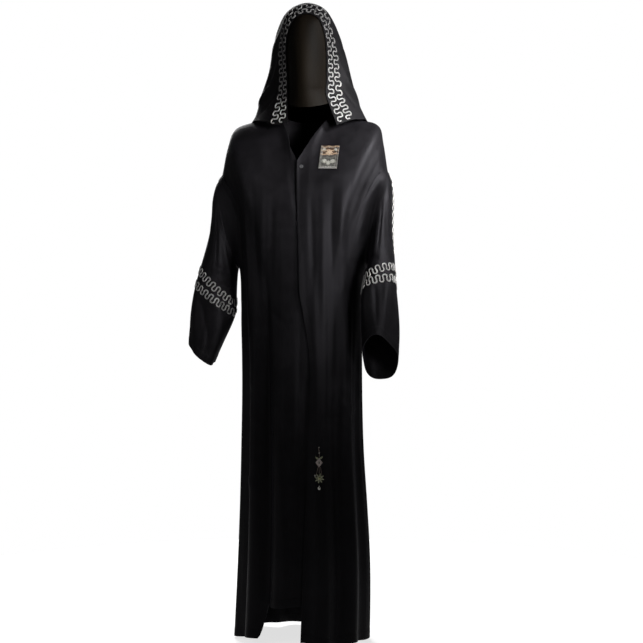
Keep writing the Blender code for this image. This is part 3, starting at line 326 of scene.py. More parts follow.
def fold_depth(degrees, z):
    """How far the cloth of the robe stands out at an angle and height."""
    down = np.clip((WAIST_Z - z) / (WAIST_Z - FOLDS_FOOT_Z), 0, 1)
    total = np.zeros(np.broadcast(degrees, z).shape)
    for waist, hem, half, depth, start in FOLDS:
        off = (degrees - waist - (hem - waist) * down + 180) % 360 - 180
        below = start * MM - z
        grows = ease(0, 1, below / 0.75) * 0.75 + 0.25 * ease(0, 1, below / 0.2)
        total += depth * MM * grows * np.exp(-((off / half) ** 2) * 1.4)
    return total


def body_point(degrees, z):
    """A point of the robe below the arms: angle from the middle front towards the left, height."""
    turn = np.radians(degrees)
    reach = np.where(np.cos(turn) > 0, body_ring("front_y", z), body_ring("back_y", z)) - SIDE_Y
    out = fold_depth(degrees, z)
    x = body_ring("mid_x", z) + (body_ring("half_width", z) + out) * np.sin(turn)
    y = SIDE_Y + reach * np.abs(np.cos(turn)) - out * np.cos(turn)
    return np.stack([x, y, np.broadcast_to(z, x.shape)], axis=-1)


def edge_degrees(z):
    """Angle of the left front's edge at a height below the waist."""
    x = column(FRONT_EDGE, ("z", "x"), "x", z)
    return np.degrees(np.arcsin(np.clip((x - body_ring("mid_x", z)) / body_ring("half_width", z), -1, 1)))


def hem_height(degrees, caught_up):
    """Height of the hem, where the right front is caught up between its deep fold and its edge."""
    off = (degrees + 180) % 360 - 180
    wave = 4 * MM * np.sin(np.radians(off * 7)) + 5 * MM * np.cos(np.radians(off * 2 + 40))
    return HEM_Z + wave + (CAUGHT_UP * ease(CAUGHT_FROM, CAUGHT_TO, off) if caught_up else 0.0)


def sleeve_ring(side, along, turn):
    """A ring of a sleeve: turn 0 is the overarm line, 90 degrees the front, 180 the underarm."""
    out_x, out_z, in_x, in_z, mid_y, half_depth, front_lift = (
        float(column(SLEEVES[side], SLEEVE_COLUMNS, name, along)[0]) for name in SLEEVE_COLUMNS[1:]
    )
    outer, inner = np.array([out_x, mid_y, out_z]), np.array([in_x, mid_y, in_z])
    depth = np.array([0, -half_depth, front_lift])
    return (outer + inner) / 2 + (outer - inner) / 2 * np.cos(turn)[:, None] + depth * np.sin(turn)[:, None]


def sleeve_folds(side, along, turn):
    """Soft slanting folds of a sleeve, none at the armhole."""
    slant = 2.2 * along * math.pi
    wide = 3.2 * MM * np.sin(3 * turn + slant + (0.6 if side == "right" else 2.1))
    return ease(0.0, 0.35, along) * (wide + 2.0 * MM * np.sin(5 * turn - 1.7 * slant))


def top_edge(side, front, cols):
    """Top edge of a quarter of the robe, from its middle to the underarm, and its run into the cloth."""
    outwards = 1 if side == "right" else -1
    neck = along_points(NECK_FRONT if front else NECK_BACK, cols[cols < NECK_COLUMNS] / NECK_COLUMNS)
    on_seam = cols[(cols >= NECK_COLUMNS) & (cols < CORNER)]
    seam = along_points(SHOULDER[side], (on_seam - NECK_COLUMNS) / SHOULDER_COLUMNS)
    turn = (cols[cols >= CORNER] - CORNER) / ARMHOLE_COLUMNS * math.pi
    hole = sleeve_ring(side, 0.0, turn if front else -turn)
    leaving = np.array(TOP_RUNS)
    runs = through(leaving[:, 0], leaving[:, 1:], cols) * np.array([outwards, -1 if front else 1, 1])
    return np.concatenate([neck * np.array([outwards, 1, 1]), seam, hole]), runs


def skirt_row(side, front, down, share):
    """One row of the robe between the waist and the hem."""
    sign = -1 if side == "right" else 1
    under_lap = front and side == "right"
    degrees = 180 - sign * 90 * share
    if front:
        edge = float(edge_degrees(WAIST_Z + (HEM_Z - WAIST_Z) * down)[0])
        edge += math.degrees(LAP_WIDTH / SKIRT_REACH) if under_lap else 0
        degrees = edge + (sign * 90 - edge) * share
    z = WAIST_Z + (hem_height(degrees, under_lap) - WAIST_Z) * down
    row = body_point(degrees, z)
    if under_lap:
        under = LAP_UNDER * ease(-16, -3, degrees - edge_degrees(z))
        row[:, 0] -= under * np.sin(np.radians(degrees))
        row[:, 1] += under * np.cos(np.radians(degrees))
    return row


def quarter(side, front, rows, cols):
    """A quarter of the robe: rows from the top edge to the hem, columns from its middle outwards."""
    points, runs = top_edge(side, front, cols)
    if front and side == "right":
        first, last = np.array(UNDER_CORNER) * MM, points[np.searchsorted(cols, 1.0)]
        near = cols < 1.0
        points[near] = first + (last - first) * cols[near][:, None]
    downs = (rows[rows >= UPPER_ROWS] - UPPER_ROWS) / SKIRT_ROWS
    skirt = [skirt_row(side, front, down, cols / COLUMNS) for down in downs]
    ring = skirt[0]
    t = (rows[rows < UPPER_ROWS] / UPPER_ROWS)[:, None, None]
    length = np.linalg.norm(ring - points, axis=1)[None, :, None]
    upper = arc(t, points[None], runs[None], ring[None], np.array([0.0, 0.0, -1.0]), length)
    return np.concatenate([upper, np.array(skirt)])


def relaxed_by(grid):
    """How far the inner points of the upper rows move when eased towards their neighbours."""
    eased = grid.copy()
    for _ in range(2):
        middle = (eased[:-2, 1:-1] + eased[2:, 1:-1] + eased[1:-1, :-2] + eased[1:-1, 2:]) / 4
        eased[1:UPPER_ROWS, 1:-1] += 0.5 * (middle[: UPPER_ROWS - 1] - eased[1:UPPER_ROWS, 1:-1])
    return eased - grid


def sleeve_grid(side, alongs, turns):
    """A sleeve: rows from the armhole to the cuff, columns once round it."""
    rows = []
    for along in alongs:
        ring = sleeve_ring(side, along, turns)
        out = unit(ring - ring[:-1].mean(axis=0))
        rows.append(ring + out * sleeve_folds(side, along, turns)[:, None])
    grid = np.array(rows)
    grid[:, -1] = grid[:, 0]
    return grid


def veil_grid(rows, cols):
    """The head veil: rows from its front edge to its back hem, columns from left to right."""
    shares = np.array([line[0] for line in VEIL_LINES])
    near = np.array(VEIL_NEAR)
    coarse = np.concatenate([near, np.linspace(near[-1], 1, VEIL_ROWS - len(near) + 2)[1:]])
    down = np.interp(rows, np.arange(VEIL_ROWS + 1), coarse)
    across = 2 * cols / VEIL_COLUMNS - 1
    lines = np.array([through(VEIL_STATIONS, np.array(points, float) * MM, down) for _, points in VEIL_LINES])
    grid = np.array([through(shares, lines[:, k], across) for k in range(len(down))])
    wave = np.sin(across * 5 * math.pi + 0.5) + 0.45 * np.sin(across * 17 + 1.1)
    grid[:, :, 1] += 9 * MM * ease(0.36, 1.0, down)[:, None] * wave[None]
    return grid[:, ::-1]


def on_grid(grid, row, col):
    """A point or normal at a row and column between those of a grid."""
    row, col = min(row, grid.shape[0] - 1.001), min(col, grid.shape[1] - 1.001)
    i, j = int(row), int(col)
    a, b = row - i, col - j
    near, far = (grid[i, k] * (1 - a) + grid[i + 1, k] * a for k in (j, j + 1))
    return near * (1 - b) + far * b


def normals_of(grids):
    """Normals at the points of several grids, shared where their edges meet."""
    sums = []
    for grid in grids:
        wide, tall = np.diff(grid, axis=1), np.diff(grid, axis=0)
        face = np.cross(tall[:, :-1] + tall[:, 1:], wide[:-1] + wide[1:])
        total = np.zeros(grid.shape)
        for i, j in ((0, 0), (1, 0), (0, 1), (1, 1)):
            total[i : i + face.shape[0], j : j + face.shape[1]] += face
        sums.append(total.reshape(-1, 3))
    places = np.round(np.concatenate([g.reshape(-1, 3) for g in grids]) * SHARE_STEPS).astype(int)
    _, where = np.unique(places, axis=0, return_inverse=True)
    shared = np.zeros((where.max() + 1, 3))
    np.add.at(shared, where.ravel(), np.concatenate(sums))
    return split_up(unit(shared[where.ravel()]), grids)


def split_up(points, grids):
    """One long list of points as grids again."""
    ends = np.cumsum([grid.shape[0] * grid.shape[1] for grid in grids])[:-1]
    return [part.reshape(grid.shape) for part, grid in zip(np.split(points, ends), grids)]


def corners(numbers):
    """The numbers at the four corners of each cell of a grid, in order round it."""
    ring = [numbers[:-1, :-1], numbers[1:, :-1], numbers[1:, 1:], numbers[:-1, 1:]]
    return np.stack(ring, axis=2).reshape(-1, 4)


def shaped(name, points, faces, finish, flat, sharp=50):
    """A named mesh piece with its finish and flat layout, in place, riding on the garment."""
    mesh = bpy.data.meshes.new(name)
    mesh.from_pydata(np.asarray(points).tolist(), [], faces)
    mesh.uv_layers.new(name="cloth").data.foreach_set("uv", np.asarray(flat, np.float32).ravel())
    mesh.shade_smooth()
    mesh.set_sharp_from_angle(angle=math.radians(sharp))
    mesh.materials.append(finish)
    piece = bpy.data.objects.new(name, mesh)
    bpy.context.scene.collection.objects.link(piece)
    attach(piece, "root")
    return piece


def cloth(name, grid, normals, thick, finish, wrap=False, marks=None):
    """A thin closed shell on a grid: outer face, inner face and the edges between them."""
    rows, cols = grid.shape[:2]
    n = cols - 1 if wrap else cols
    half = np.broadcast_to(np.asarray(thick, float), (rows, cols))[:, :, None] / 2
    outer, inner = (grid + normals * half)[:, :n], (grid - normals * half)[:, :n]
    points = np.concatenate([outer.reshape(-1, 3), inner.reshape(-1, 3)])
    size = rows * n
    point = np.arange(rows)[:, None] * n + np.arange(cols) % n
    spot = np.arange(rows * cols).reshape(rows, cols)
    faces, spots = [corners(point), corners(point)[:, ::-1] + size], [corners(spot), corners(spot)[:, ::-1]]
    rims = [(np.s_[0, :-1], np.s_[0, 1:]), (np.s_[-1, 1:], np.s_[-1, :-1])]
    if not wrap:
        rims += [(np.s_[:-1, -1], np.s_[1:, -1]), (np.s_[1:, 0], np.s_[:-1, 0])]
    for a, b in rims:
        faces.append(np.stack([point[a], point[b], point[b] + size, point[a] + size], axis=1))
        spots.append(np.stack([spot[a], spot[b], spot[b], spot[a]], axis=1))
    flat = np.stack(lengths(grid), axis=2).reshape(-1, 2)[np.concatenate(spots).ravel()]
    piece = shaped(name, points, np.concatenate(faces).tolist(), finish, flat)
    for key, values in (marks or {}).items():
        one_face = np.broadcast_to(values, (rows, cols))[:, :n].ravel()
        mark = piece.data.attributes.new(key, "FLOAT", "POINT")
        mark.data.foreach_set("value", np.concatenate([one_face, one_face]).astype(np.float32))
    return piece


def crease(x, y, ends, width):
    """A soft ridge between two points of a plane, fading out along its length and to its sides."""
    x0, y0, x1, y1 = ends
    run = math.hypot(x1 - x0, y1 - y0)
    t = ((x - x0) * (x1 - x0) + (y - y0) * (y1 - y0)) / run**2
    off = ((x - x0) * (y1 - y0) - (y - y0) * (x1 - x0)) / run
    off = off + 0.12 * width * np.sin(t * 7 + x0)
    return np.exp(-((off / width) ** 2)) * ease(-0.15, 0.3, t) * (1 - ease(0.6, 1.15, t))


def robe_creases(points):
    """How far the robe's cloth stands out for its finer folds."""
    x, y, z = points[..., 0], points[..., 1], points[..., 2]
    low = np.minimum(z, BODY_TOP_Z).ravel()
    mid, half, ahead, behind = (
        body_ring(name, low).reshape(x.shape) for name in ("mid_x", "half_width", "front_y", "back_y")
    )
    in_front = y < SIDE_Y
    depth = np.where(in_front, SIDE_Y - ahead, behind - SIDE_Y)
    degrees = np.degrees(np.arctan2((x - mid) / half, -(y - SIDE_Y) / depth))
    total = np.zeros(x.shape)
    for angle, wide, deep, start, end in FINE_FOLDS:
        lean = 2.0 * np.sin(z * 3.1 + angle) + 0.8 * np.sin(z * 9.7 + angle * 2)
        off = (degrees - angle - lean + 180) % 360 - 180
        shows = ease(start * MM, (start - 260) * MM, z) * (1 - 0.5 * ease(end * MM + 0.3, end * MM, z))
        total += deep * MM * np.exp(-((off / wide) ** 2)) * shows * (0.75 + 0.25 * np.sin(z * 6 + angle * 5))
    shows = ease(2 * MM, 34 * MM, np.abs(y - SIDE_Y))
    for side, x0, z0, x1, z1, width, deep in CREASES:
        ridge = deep * MM * crease(x / MM, z / MM, (x0, z0, x1, z1), width)
        total += np.where(in_front == (side > 0), ridge, 0) * shows
    return total


def ironed(grid, neck_end, reach=17, times=160):
    """A front with the fold that runs down from the end of its neck edge smoothed away."""
    row, col = np.arange(grid.shape[0])[:, None], np.arange(grid.shape[1])[None]
    much = ease(0, 12, row) * (1 - ease(50, 90, row)) * ease(7, 14, col)
    much = much * (1 - ease(reach * 0.4, reach, np.abs(col - neck_end)))
    grid = grid.copy()
    for _ in range(times):
        middle = (grid[:, :-2] + 2 * grid[:, 1:-1] + grid[:, 2:]) / 4
        grid[:, 1:-1] += (middle - grid[:, 1:-1]) * much[:, 1:-1, None]
    return grid


def robe_panels():
    """Fine grids of the fronts, back and sleeves, which share their seam lines."""
    rows = np.concatenate([np.linspace(0, UPPER_ROWS, UPPER_ROWS * FINE_UPPER + 1)[:-1],
                           UPPER_ROWS + np.linspace(0, SKIRT_ROWS, SKIRT_ROWS * FINE_SKIRT + 1)])
    cols = np.linspace(0, COLUMNS, COLUMNS * FINE_COLUMNS + 1)
    all_rows, all_cols = np.arange(UPPER_ROWS + SKIRT_ROWS + 1.0), np.arange(COLUMNS + 1.0)
    keys = [(side, front) for side in SIDES for front in (True, False)]
    rough = {key: quarter(*key, all_rows, all_cols) for key in keys}
    for side in SIDES:
        turns = np.linspace(0, 2 * math.pi, 2 * ARMHOLE_COLUMNS + 1)
        rough[side, None] = sleeve_grid(side, np.linspace(0, 1, SLEEVE_ROWS + 1), turns)
    before = [grid + relaxed_by(grid) if key in keys else grid for key, grid in rough.items()]
    after = evened(before, [rough[side, None][0] for side in SIDES], ARMHOLE_REACH, EVENINGS)
    move = {key: grid - rough[key] for key, grid in zip(rough, after)}
    parts = {key: quarter(*key, rows, cols) + finer(move[key], rows, cols) for key in keys}
    neck_end, hole = NECK_COLUMNS * FINE_COLUMNS, CORNER * FINE_COLUMNS
    for side in SIDES:
        parts[side, True] = ironed(parts[side, True], neck_end)
    row, col = np.arange(len(rows))[:, None], np.arange(len(cols))[None]
    inward = ease(0, 11, col) * (1 - ease(13, 20, col)) * (1 - ease(0, 16, row))
    parts["right", True][..., 0] += NECK_EASE * inward
    for side in SIDES:
        parts[side, False][0, neck_end : hole + 1] = parts[side, True][0, neck_end : hole + 1]
        ring = np.concatenate([parts[side, True][0, hole:], parts[side, False][0, hole:][::-1][1:]])
        down = np.linspace(0, 1, SLEEVE_ROWS * FINE_SLEEVE + 1)
        sleeve = sleeve_grid(side, down, np.linspace(0, 2 * math.pi, len(ring)))
        moved = move[side, None]
        around = np.concatenate([moved[:, -3:-1], moved, moved[:, 1:3]], axis=1)
        sleeve += finer(around, np.linspace(0, SLEEVE_ROWS, len(down)),
                        2 + np.linspace(0, 2 * ARMHOLE_COLUMNS, len(ring)))
        sleeve += (ring - sleeve[0])[None] * (1 - ease(0, 8, np.arange(len(sleeve))))[:, None, None]
        parts[side, None] = sleeve
    return {
        "front_right": parts["right", True][:, ::-1],
        "front_left": parts["left", True],
        "back": np.concatenate([parts["left", False][:, ::-1], parts["right", False][:, 1:]], axis=1),
        "sleeve_right": parts["right", None],
        "sleeve_left": parts["left", None][:, ::-1],
    }


def creased(grids):
    """The grids with their finer folds, none at the neck, shoulder and armhole seams."""
    normals = normals_of(list(grids.values()))
    moved = {}
    for (name, grid), ways in zip(grids.items(), normals):
        sleeve = name.startswith("sleeve")
        if sleeve:
            side = name.split("_")[1]
            along = np.linspace(0, SLEEVE_LONG, grid.shape[0])[:, None] * np.ones(grid.shape[1])
            turn = np.linspace(0, 360, grid.shape[1])[None] * np.ones((grid.shape[0], 1))
            turn = (turn if side == "right" else 360 - turn) % 360
            out = np.zeros(along.shape)
            for *ends, width, deep in SLEEVE_CREASES[side]:
                for shift in (-360, 0):
                    ends_mm = (np.array(ends) + [shift, 0, shift, 0]) * ([PER_DEGREE, SLEEVE_LONG] * 2)
                    out += deep * MM * crease(turn * PER_DEGREE, along, ends_mm, width)
        else:
            out = robe_creases(grid)
        shows = ease(0, 9 if sleeve else 6, np.arange(grid.shape[0])[:, None])
        moved[name] = grid + ways * (out * shows)[:, :, None]
        if sleeve:
            moved[name][:, -1] = moved[name][:, 0]
    return moved


def evened(grids, seams, reach, times):
    """Joined grids with the bends of the cloth evened out within a reach of some seams."""
    points = np.concatenate([grid.reshape(-1, 3) for grid in grids])
    places = np.round(points * JOIN_STEPS).astype(int)
    _, first, where = np.unique(places, axis=0, return_index=True, return_inverse=True)
    points, where = points[first], where.ravel()
    pairs, start = [], 0
    for grid in grids:
        rows, cols = grid.shape[:2]
        index = where[start : start + rows * cols].reshape(rows, cols)
        pairs += [np.stack([index[:-1].ravel(), index[1:].ravel()], axis=1)]
        pairs += [np.stack([index[:, :-1].ravel(), index[:, 1:].ravel()], axis=1)]
        start += rows * cols
    pairs = np.unique(np.sort(np.concatenate(pairs), axis=1), axis=0)
    a, b = pairs[pairs[:, 0] != pairs[:, 1]].T
    count = np.bincount(np.concatenate([a, b]), minlength=len(points))[:, None]
    away = np.min(np.linalg.norm(points[:, None] - np.concatenate(seams)[None], axis=2), axis=1)
    free = (1 - ease(0.6 * reach, reach, away))[:, None]

    def bend(values):
        total = np.zeros(values.shape)
        np.add.at(total, a, values[b])
        np.add.at(total, b, values[a])
        return total / count - values

    for _ in range(times):
        points = points - 0.24 * free * bend(bend(points))
    return split_up(points[where], grids)


def tree_of(*grids):
    """A search tree over the cells of some grids."""
    points, faces = [], []
    for grid in grids:
        numbers = np.arange(grid.shape[0] * grid.shape[1]).reshape(grid.shape[:2])
        faces += (corners(numbers) + len(points)).tolist()
        points += grid.reshape(-1, 3).tolist()
    return BVHTree.FromPolygons(points, faces)


def spread(rise, wide):
    """The highest rise near each point of a grid, evened out."""
    for _ in range(2):
        wider = np.pad(rise, ((wide, wide), (0, 0)))
        fades = [1 - abs(k - wide) / (wide + 1) * 0.3 for k in range(2 * wide + 1)]
        rise = np.max([wider[k : k + len(rise)] * fade for k, fade in enumerate(fades)], axis=0).T
    for _ in range(wide * 3 * 2):
        wider = np.pad(rise, ((1, 1), (0, 0)), "edge")
        rise = ((wider[:-2] + 2 * rise + wider[2:]) / 4).T
    return rise


def kept_off(grid, tree, least, ways, reach=0.03, times=4):
    """A grid moved out until it stands clear of a surface, with smooth moves."""
    grid = grid.copy()
    for turn in range(times):
        rise = np.zeros(grid.shape[:2])
        for i, j in np.ndindex(rise.shape):
            way, place = Vector(ways[i, j]), Vector(grid[i, j])
            hit = tree.ray_cast(place + way * reach, -way, reach + least)[0]
            if hit is not None:
                rise[i, j] = max(0.0, least - (place - hit).dot(way))
        if rise.max() < 0.05 * MM:
            break
        grid += ways * (spread(rise, 3) * (1.0 if turn < times - 1 else 1.05))[:, :, None]
    return grid


def snapped(tree, point, outward, lift):
    """The place on a cloth nearest to a point along a way, lifted off it."""
    hit = tree.ray_cast(Vector(point + outward * SNAP_REACH), Vector(-outward), 2 * SNAP_REACH)[0]
    if hit is None:
        hit = tree.find_nearest(Vector(point))[0]
    return np.array(hit) + outward * lift


def read_off(run, values, at):
    """Rows of values read at lengths along a line."""
    at = np.clip(at, 0, run[-1])
    return np.stack([np.interp(at, run, values[:, k]) for k in range(values.shape[1])], axis=1)


def braid(node, line, ways, tree, wave, pitch, beat=None, lift=0.35 * MM, steep=0.14, steps=36):
    """A serpentine braid sewn along a line on a cloth, its turns even along the beat, which it returns."""
    line, ways, run = np.array(line), np.array(ways), run_of(line)
    beat = run if beat is None else beat
    turns = round(beat[-1] / pitch)
    share = np.linspace(0, 1, turns * steps + 1)
    phase = share * turns * 2 * math.pi
    share = np.clip(share - steep / turns * np.sin(2 * phase), 0, 1)
    at = np.interp(share * beat[-1], beat, run)
    out = unit(read_off(run, ways, at))
    ahead = unit(read_off(run, line, at + 1 * MM) - read_off(run, line, at - 1 * MM))
    swing = np.interp(at, run, np.broadcast_to(wave, run.shape)) * np.sin(phase)
    middle = read_off(run, line, at) + unit(np.cross(out, ahead)) * swing[:, None]
    across = unit(np.cross(out, np.gradient(middle, axis=0))) * BRAID_WIDTH / 2
    edges = [np.array([snapped(tree, m + s * a, o, lift) for m, a, o in zip(middle, across, out)])
             for s in (-1, 1)]
    for _ in range(3):
        for edge in edges:
            edge[1:-1] = (edge[:-2] + 2 * edge[1:-1] + edge[2:]) / 4
    centre, half = (edges[0] + edges[1]) / 2, (edges[1] - edges[0]) / 2
    rings = np.stack([centre + half * 2 * u + out * BRAID_HEIGHT * v for u, v in BRAID_SECTION], axis=1)
    rows, cols = rings.shape[:2]
    around = [0, 3, 2, 1]
    faces = corners(np.arange(rows)[:, None] * cols + np.arange(cols + 1) % cols)[:, around].tolist()
    faces += [list(range(cols))[::-1], [(rows - 1) * cols + q for q in range(cols)]]
    over = np.arange(cols + 1) / cols * BRAID_ROUND
    flat = np.stack(np.broadcast_arrays(over, run_of(centre)[:, None]), axis=2).reshape(-1, 2)
    flat = flat[corners(np.arange(rows * (cols + 1)).reshape(rows, -1))[:, around].ravel()]
    flat = np.concatenate([flat, np.zeros((2 * cols, 2))])
    stands_for(shaped(node + "_cord", rings.reshape(-1, 3), faces, FINISH["braid"], flat, sharp=70), node)
    return beat


class Socket:
    """A socket of a material's node tree, with sums written as Python."""

    def __init__(self, tree, link):
        self.tree, self.link = tree, link

    def node(self, kind, settings=None, inputs=None, out=0):
        """A node of any other kind: its settings first, then the values or links of its sockets."""
        made = self.tree.nodes.new(kind)
        for key, value in (settings or {}).items():
            setattr(made, key, value)
        for key, value in (inputs or {}).items():
            if isinstance(value, Socket):
                self.tree.links.new(value.link, made.inputs[key])
            else:
                made.inputs[key].default_value = value
        return Socket(self.tree, made.outputs[out])

    def maths(self, operation, other=None, turned=False):
        values = {} if other is None else {1 - turned: other}
        return self.node("ShaderNodeMath", {"operation": operation}, {int(turned): self, **values})

    def __add__(self, other):
        return self.maths("ADD", other)

    def __sub__(self, other):
        return self.maths("SUBTRACT", other)

    def __rsub__(self, other):
        return self.maths("SUBTRACT", other, turned=True)

    def __mul__(self, other):
        return self.maths("MULTIPLY", other)

    def __truediv__(self, other):
        return self.maths("DIVIDE", other)

    def __rtruediv__(self, other):
        return self.maths("DIVIDE", other, turned=True)

    __radd__ = __add__
    __rmul__ = __mul__

    def sin(self):
        return self.maths("SINE")

    def most(self, other):
        return self.maths("MAXIMUM", other)

    def size(self):
        return self.maths("ABSOLUTE")

    def wrap(self):
        return self.maths("FRACT")

    def step(self, low, high):
        """0 below low, 1 above high and smooth between."""
        return self.node("ShaderNodeMapRange", {"interpolation_type": "SMOOTHSTEP"},
                         {"Value": self, "From Min": low, "From Max": high})

    def parts(self):
        return [self.node("ShaderNodeSeparateXYZ", None, {0: self}, k) for k in range(3)]

    def squeezed(self, x, y, z):
        return self.node("ShaderNodeMapping", None, {"Vector": self, "Scale": (x, y, z)})

    def tint(self, low, high):
        """A colour between two colours."""
        sides = {k: side if isinstance(side, Socket) else (*side, 1) for k, side in ((6, low), (7, high))}
        return self.node("ShaderNodeMix", {"data_type": "RGBA"}, {0: self, **sides}, 2)

    def noise(self, scale, detail=2.0, rough=0.5):
        """Smooth noise about a middle of 0.5."""
        inputs = {"Vector": self, "Scale": scale, "Detail": detail, "Roughness": rough}
        return self.node("ShaderNodeTexNoise", None, inputs)

    def bumped(self, distance, strength=1.0, over=None):
        """This height as relief, over another relief."""
        inputs = {"Height": self, "Distance": distance, "Strength": strength}
        return self.node("ShaderNodeBump", None, inputs if over is None else {**inputs, "Normal": over})


def finish(name, **fixed):
    """A new material with the values that stay the same all over it, its place and flat layout."""
    made = bpy.data.materials.new(name)
    made.use_nodes = True
    shader = made.node_tree.nodes["Principled BSDF"]
    for key, value in fixed.items():
        shader.inputs[key.replace("_", " ").title().replace("Ior", "IOR")].default_value = value
    coord = made.node_tree.nodes.new("ShaderNodeTexCoord")
    return made, *(Socket(made.node_tree, coord.outputs[key]) for key in ("Object", "UV"))


def connected(made, colour, rough=None, relief=None, **more):
    """The material with what varies over it: colour, roughness, relief and any others."""
    sources = {"Base Color": colour, "Roughness": rough, "Normal": relief, **more}
    for key, source in sources.items():
        if source is not None:
            made.node_tree.links.new(source.link, made.node_tree.nodes["Principled BSDF"].inputs[key])
    return made


def toned(base, factor):
    """A colour made lighter or darker."""
    return tuple(c * factor for c in base)


def mark(socket, name):
    """A value that the cloth carries at its points."""
    return socket.node("ShaderNodeAttribute", {"attribute_name": name}, None, 2)


def stitches(along, off):
    """A row of sewing stitches: 1 on the thread, 0 off it."""
    dash = (along / STITCH_PITCH).wrap()
    on = (dash - 0.5).size().step(0.42, 0.30)
    return on * off.size().step(STITCH_WIDTH, STITCH_WIDTH * 0.4)


def satin_crepe(name, base, sheen):
    """Dense black crepe with a satin face: fine twill, slight slubs and purple-grey sheen."""
    made, place, flat = finish(
        name, roughness=0.55, specular_ior_level=0.046, specular_tint=(0.93, 0.9, 1.0, 1), sheen_weight=0.013,
        sheen_roughness=0.35, sheen_tint=(*sheen, 1),
    )
    u, v, _ = flat.parts()
    hem, seam, edge = (mark(place, key) for key in ("hem", "seam", "edge"))
    cloud = place.noise(38.0, 3.0, 0.6)
    slub = flat.squeezed(900, 90, 1).noise(1.0)
    twill = (u * 5200.0 + v * 5200.0).sin() * 0.5 + 0.5
    dyed = (place.noise(7.0, 3.0) * 0.6 + cloud * 0.4).step(0.35, 0.68)
    colour = dyed.tint(toned(base, 0.62), toned(base, 1.5))
    thread = stitches(u, hem - HEM_STITCH).most(stitches(v, edge - EDGE_STITCH))
    colour = (thread * 0.5).tint(colour, toned(base, 3))
    worn = hem.step(0.004, 0.0)
    colour = (worn * 0.35).tint(colour, toned(base, 3.5))
    rough = 0.55 + (cloud - 0.5) * 0.16 + (slub - 0.5) * 0.12
    relief = place.squeezed(1, 1, 0.35).noise(26.0, 4.0, 0.55).bumped(0.0022, 0.55)
    sewn = seam.step(0.0016, 0.0) * -1.0 + hem.step(0.0235, 0.0205) * 0.6 + thread * 0.4
    relief = sewn.bumped(0.0006, 0.8, relief)
    fine = twill * 0.35 + flat.noise(1500.0, 1.0) * 0.5 + slub * 0.7
    return connected(made, colour, rough, fine.bumped(0.00016, 0.75, relief))


def georgette(name, base):
    """Light black georgette of the head veil: crinkled yarns and a soft bloom."""
    made, place, flat = finish(
        name, roughness=0.58, specular_ior_level=0.022, sheen_weight=0.003, sheen_roughness=0.45,
        sheen_tint=(0.8, 0.76, 0.88, 1),
    )
    u, v, _ = flat.parts()
    yarn = (u * 4300.0).sin() * (v * 4300.0).sin() * 0.5 + 0.5
    pebble = flat.noise(1100.0, 2.0, 0.7)
    colour = place.noise(9.0, 3.0).step(0.35, 0.7).tint(toned(base, 0.7), toned(base, 1.5))
    relief = place.noise(34.0, 4.0, 0.55).bumped(0.0018, 0.4)
    relief = mark(place, "hem").step(0.0065, 0.0055).bumped(0.0005, 0.7, relief)
    relief = (yarn * 0.5 + pebble).bumped(0.00016, 0.8, relief)
    return connected(made, colour, 0.52 + pebble * 0.16, relief)


def chiffon(name, base):
    """Sheer chiffon of the face veil: open weave that lets a little light through."""
    made, place, flat = finish(
        name, roughness=0.5, specular_ior_level=0.018, sheen_weight=0.0005, sheen_roughness=0.4,
        sheen_tint=(0.9, 0.84, 0.8, 1),
    )
    u, v, _ = flat.parts()
    weave = ((u * 6300.0).sin().size() + (v * 6300.0).sin().size()) * 0.5
    broad = place.squeezed(1, 1, 0.25).noise(24.0)
    colour = broad.step(0.3, 0.75).tint(toned(base, 0.7), toned(base, 1.6))
    relief = weave.bumped(0.0001, 0.25, broad.bumped(0.003, 0.4))
    return connected(made, colour, 0.5 + broad * 0.2, relief, Alpha=0.9 - weave.step(0.15, 0.9) * 0.06)


def silver_braid(name):
    """Silver-grey soutache: slanting threads over two cords, with painted shade in the furrow and over the
    crown.
    """
    made, place, flat = finish(name, roughness=0.45, specular_ior_level=0.28)
    u, v, _ = flat.parts()
    lean = (u - 0.0035).size()
    strand = (v * 7800.0 + lean * 6800.0).sin() * 0.5 + 0.5
    painted_furrow_shade = (u - 0.005).size().step(0.0020, 0.0007)
    rubbed = place.noise(12.0).step(0.42, 0.72)
    bright = (strand * 0.5 + place.noise(45.0, 3.0) * 0.5).step(0.2, 0.85)
    colour = bright.tint((0.080, 0.078, 0.078), (0.36, 0.355, 0.345))
    colour = (rubbed * 0.35).tint(colour, (0.11, 0.108, 0.106))
    # Painted shade: the braid is painted darker higher up the head veil, from 0.02 m and fully at 0.22 m and
    # above.
    colour = (place.parts()[2].step(0.02, 0.22) * 0.74).tint(colour, (0.022, 0.021, 0.021))
    # Painted shade: the furrow between the two cords is painted nearly black.
    colour = (painted_furrow_shade * 0.9).tint(colour, (0.008, 0.008, 0.009))
    return connected(made, colour, 0.4 + strand * 0.15, strand.bumped(0.00025, 0.8), Metallic=strand * 0.3)


def thread_work(name, dark, light, lean, shine):
    """Satin-stitch embroidery: fine threads side by side, each catching the light a little differently."""
    made, place, _ = finish(name, roughness=0.45, specular_ior_level=shine, sheen_weight=0.08)
    x, _, z = place.parts()
    across = x * math.cos(math.radians(lean)) + z * math.sin(math.radians(lean))
    strand = (across * 9800.0).sin() * 0.5 + 0.5
    cloud = place.noise(420.0)
    colour = (strand * 0.45 + cloud * 0.35 + place.noise(90.0, 3.0) * 0.3).step(0.25, 0.8).tint(dark, light)
    relief = (strand * 0.7 + cloud * 0.6).bumped(0.00022, 0.8)
    return connected(made, colour, 0.38 + cloud * 0.2, relief, Metallic=strand * 0.25)


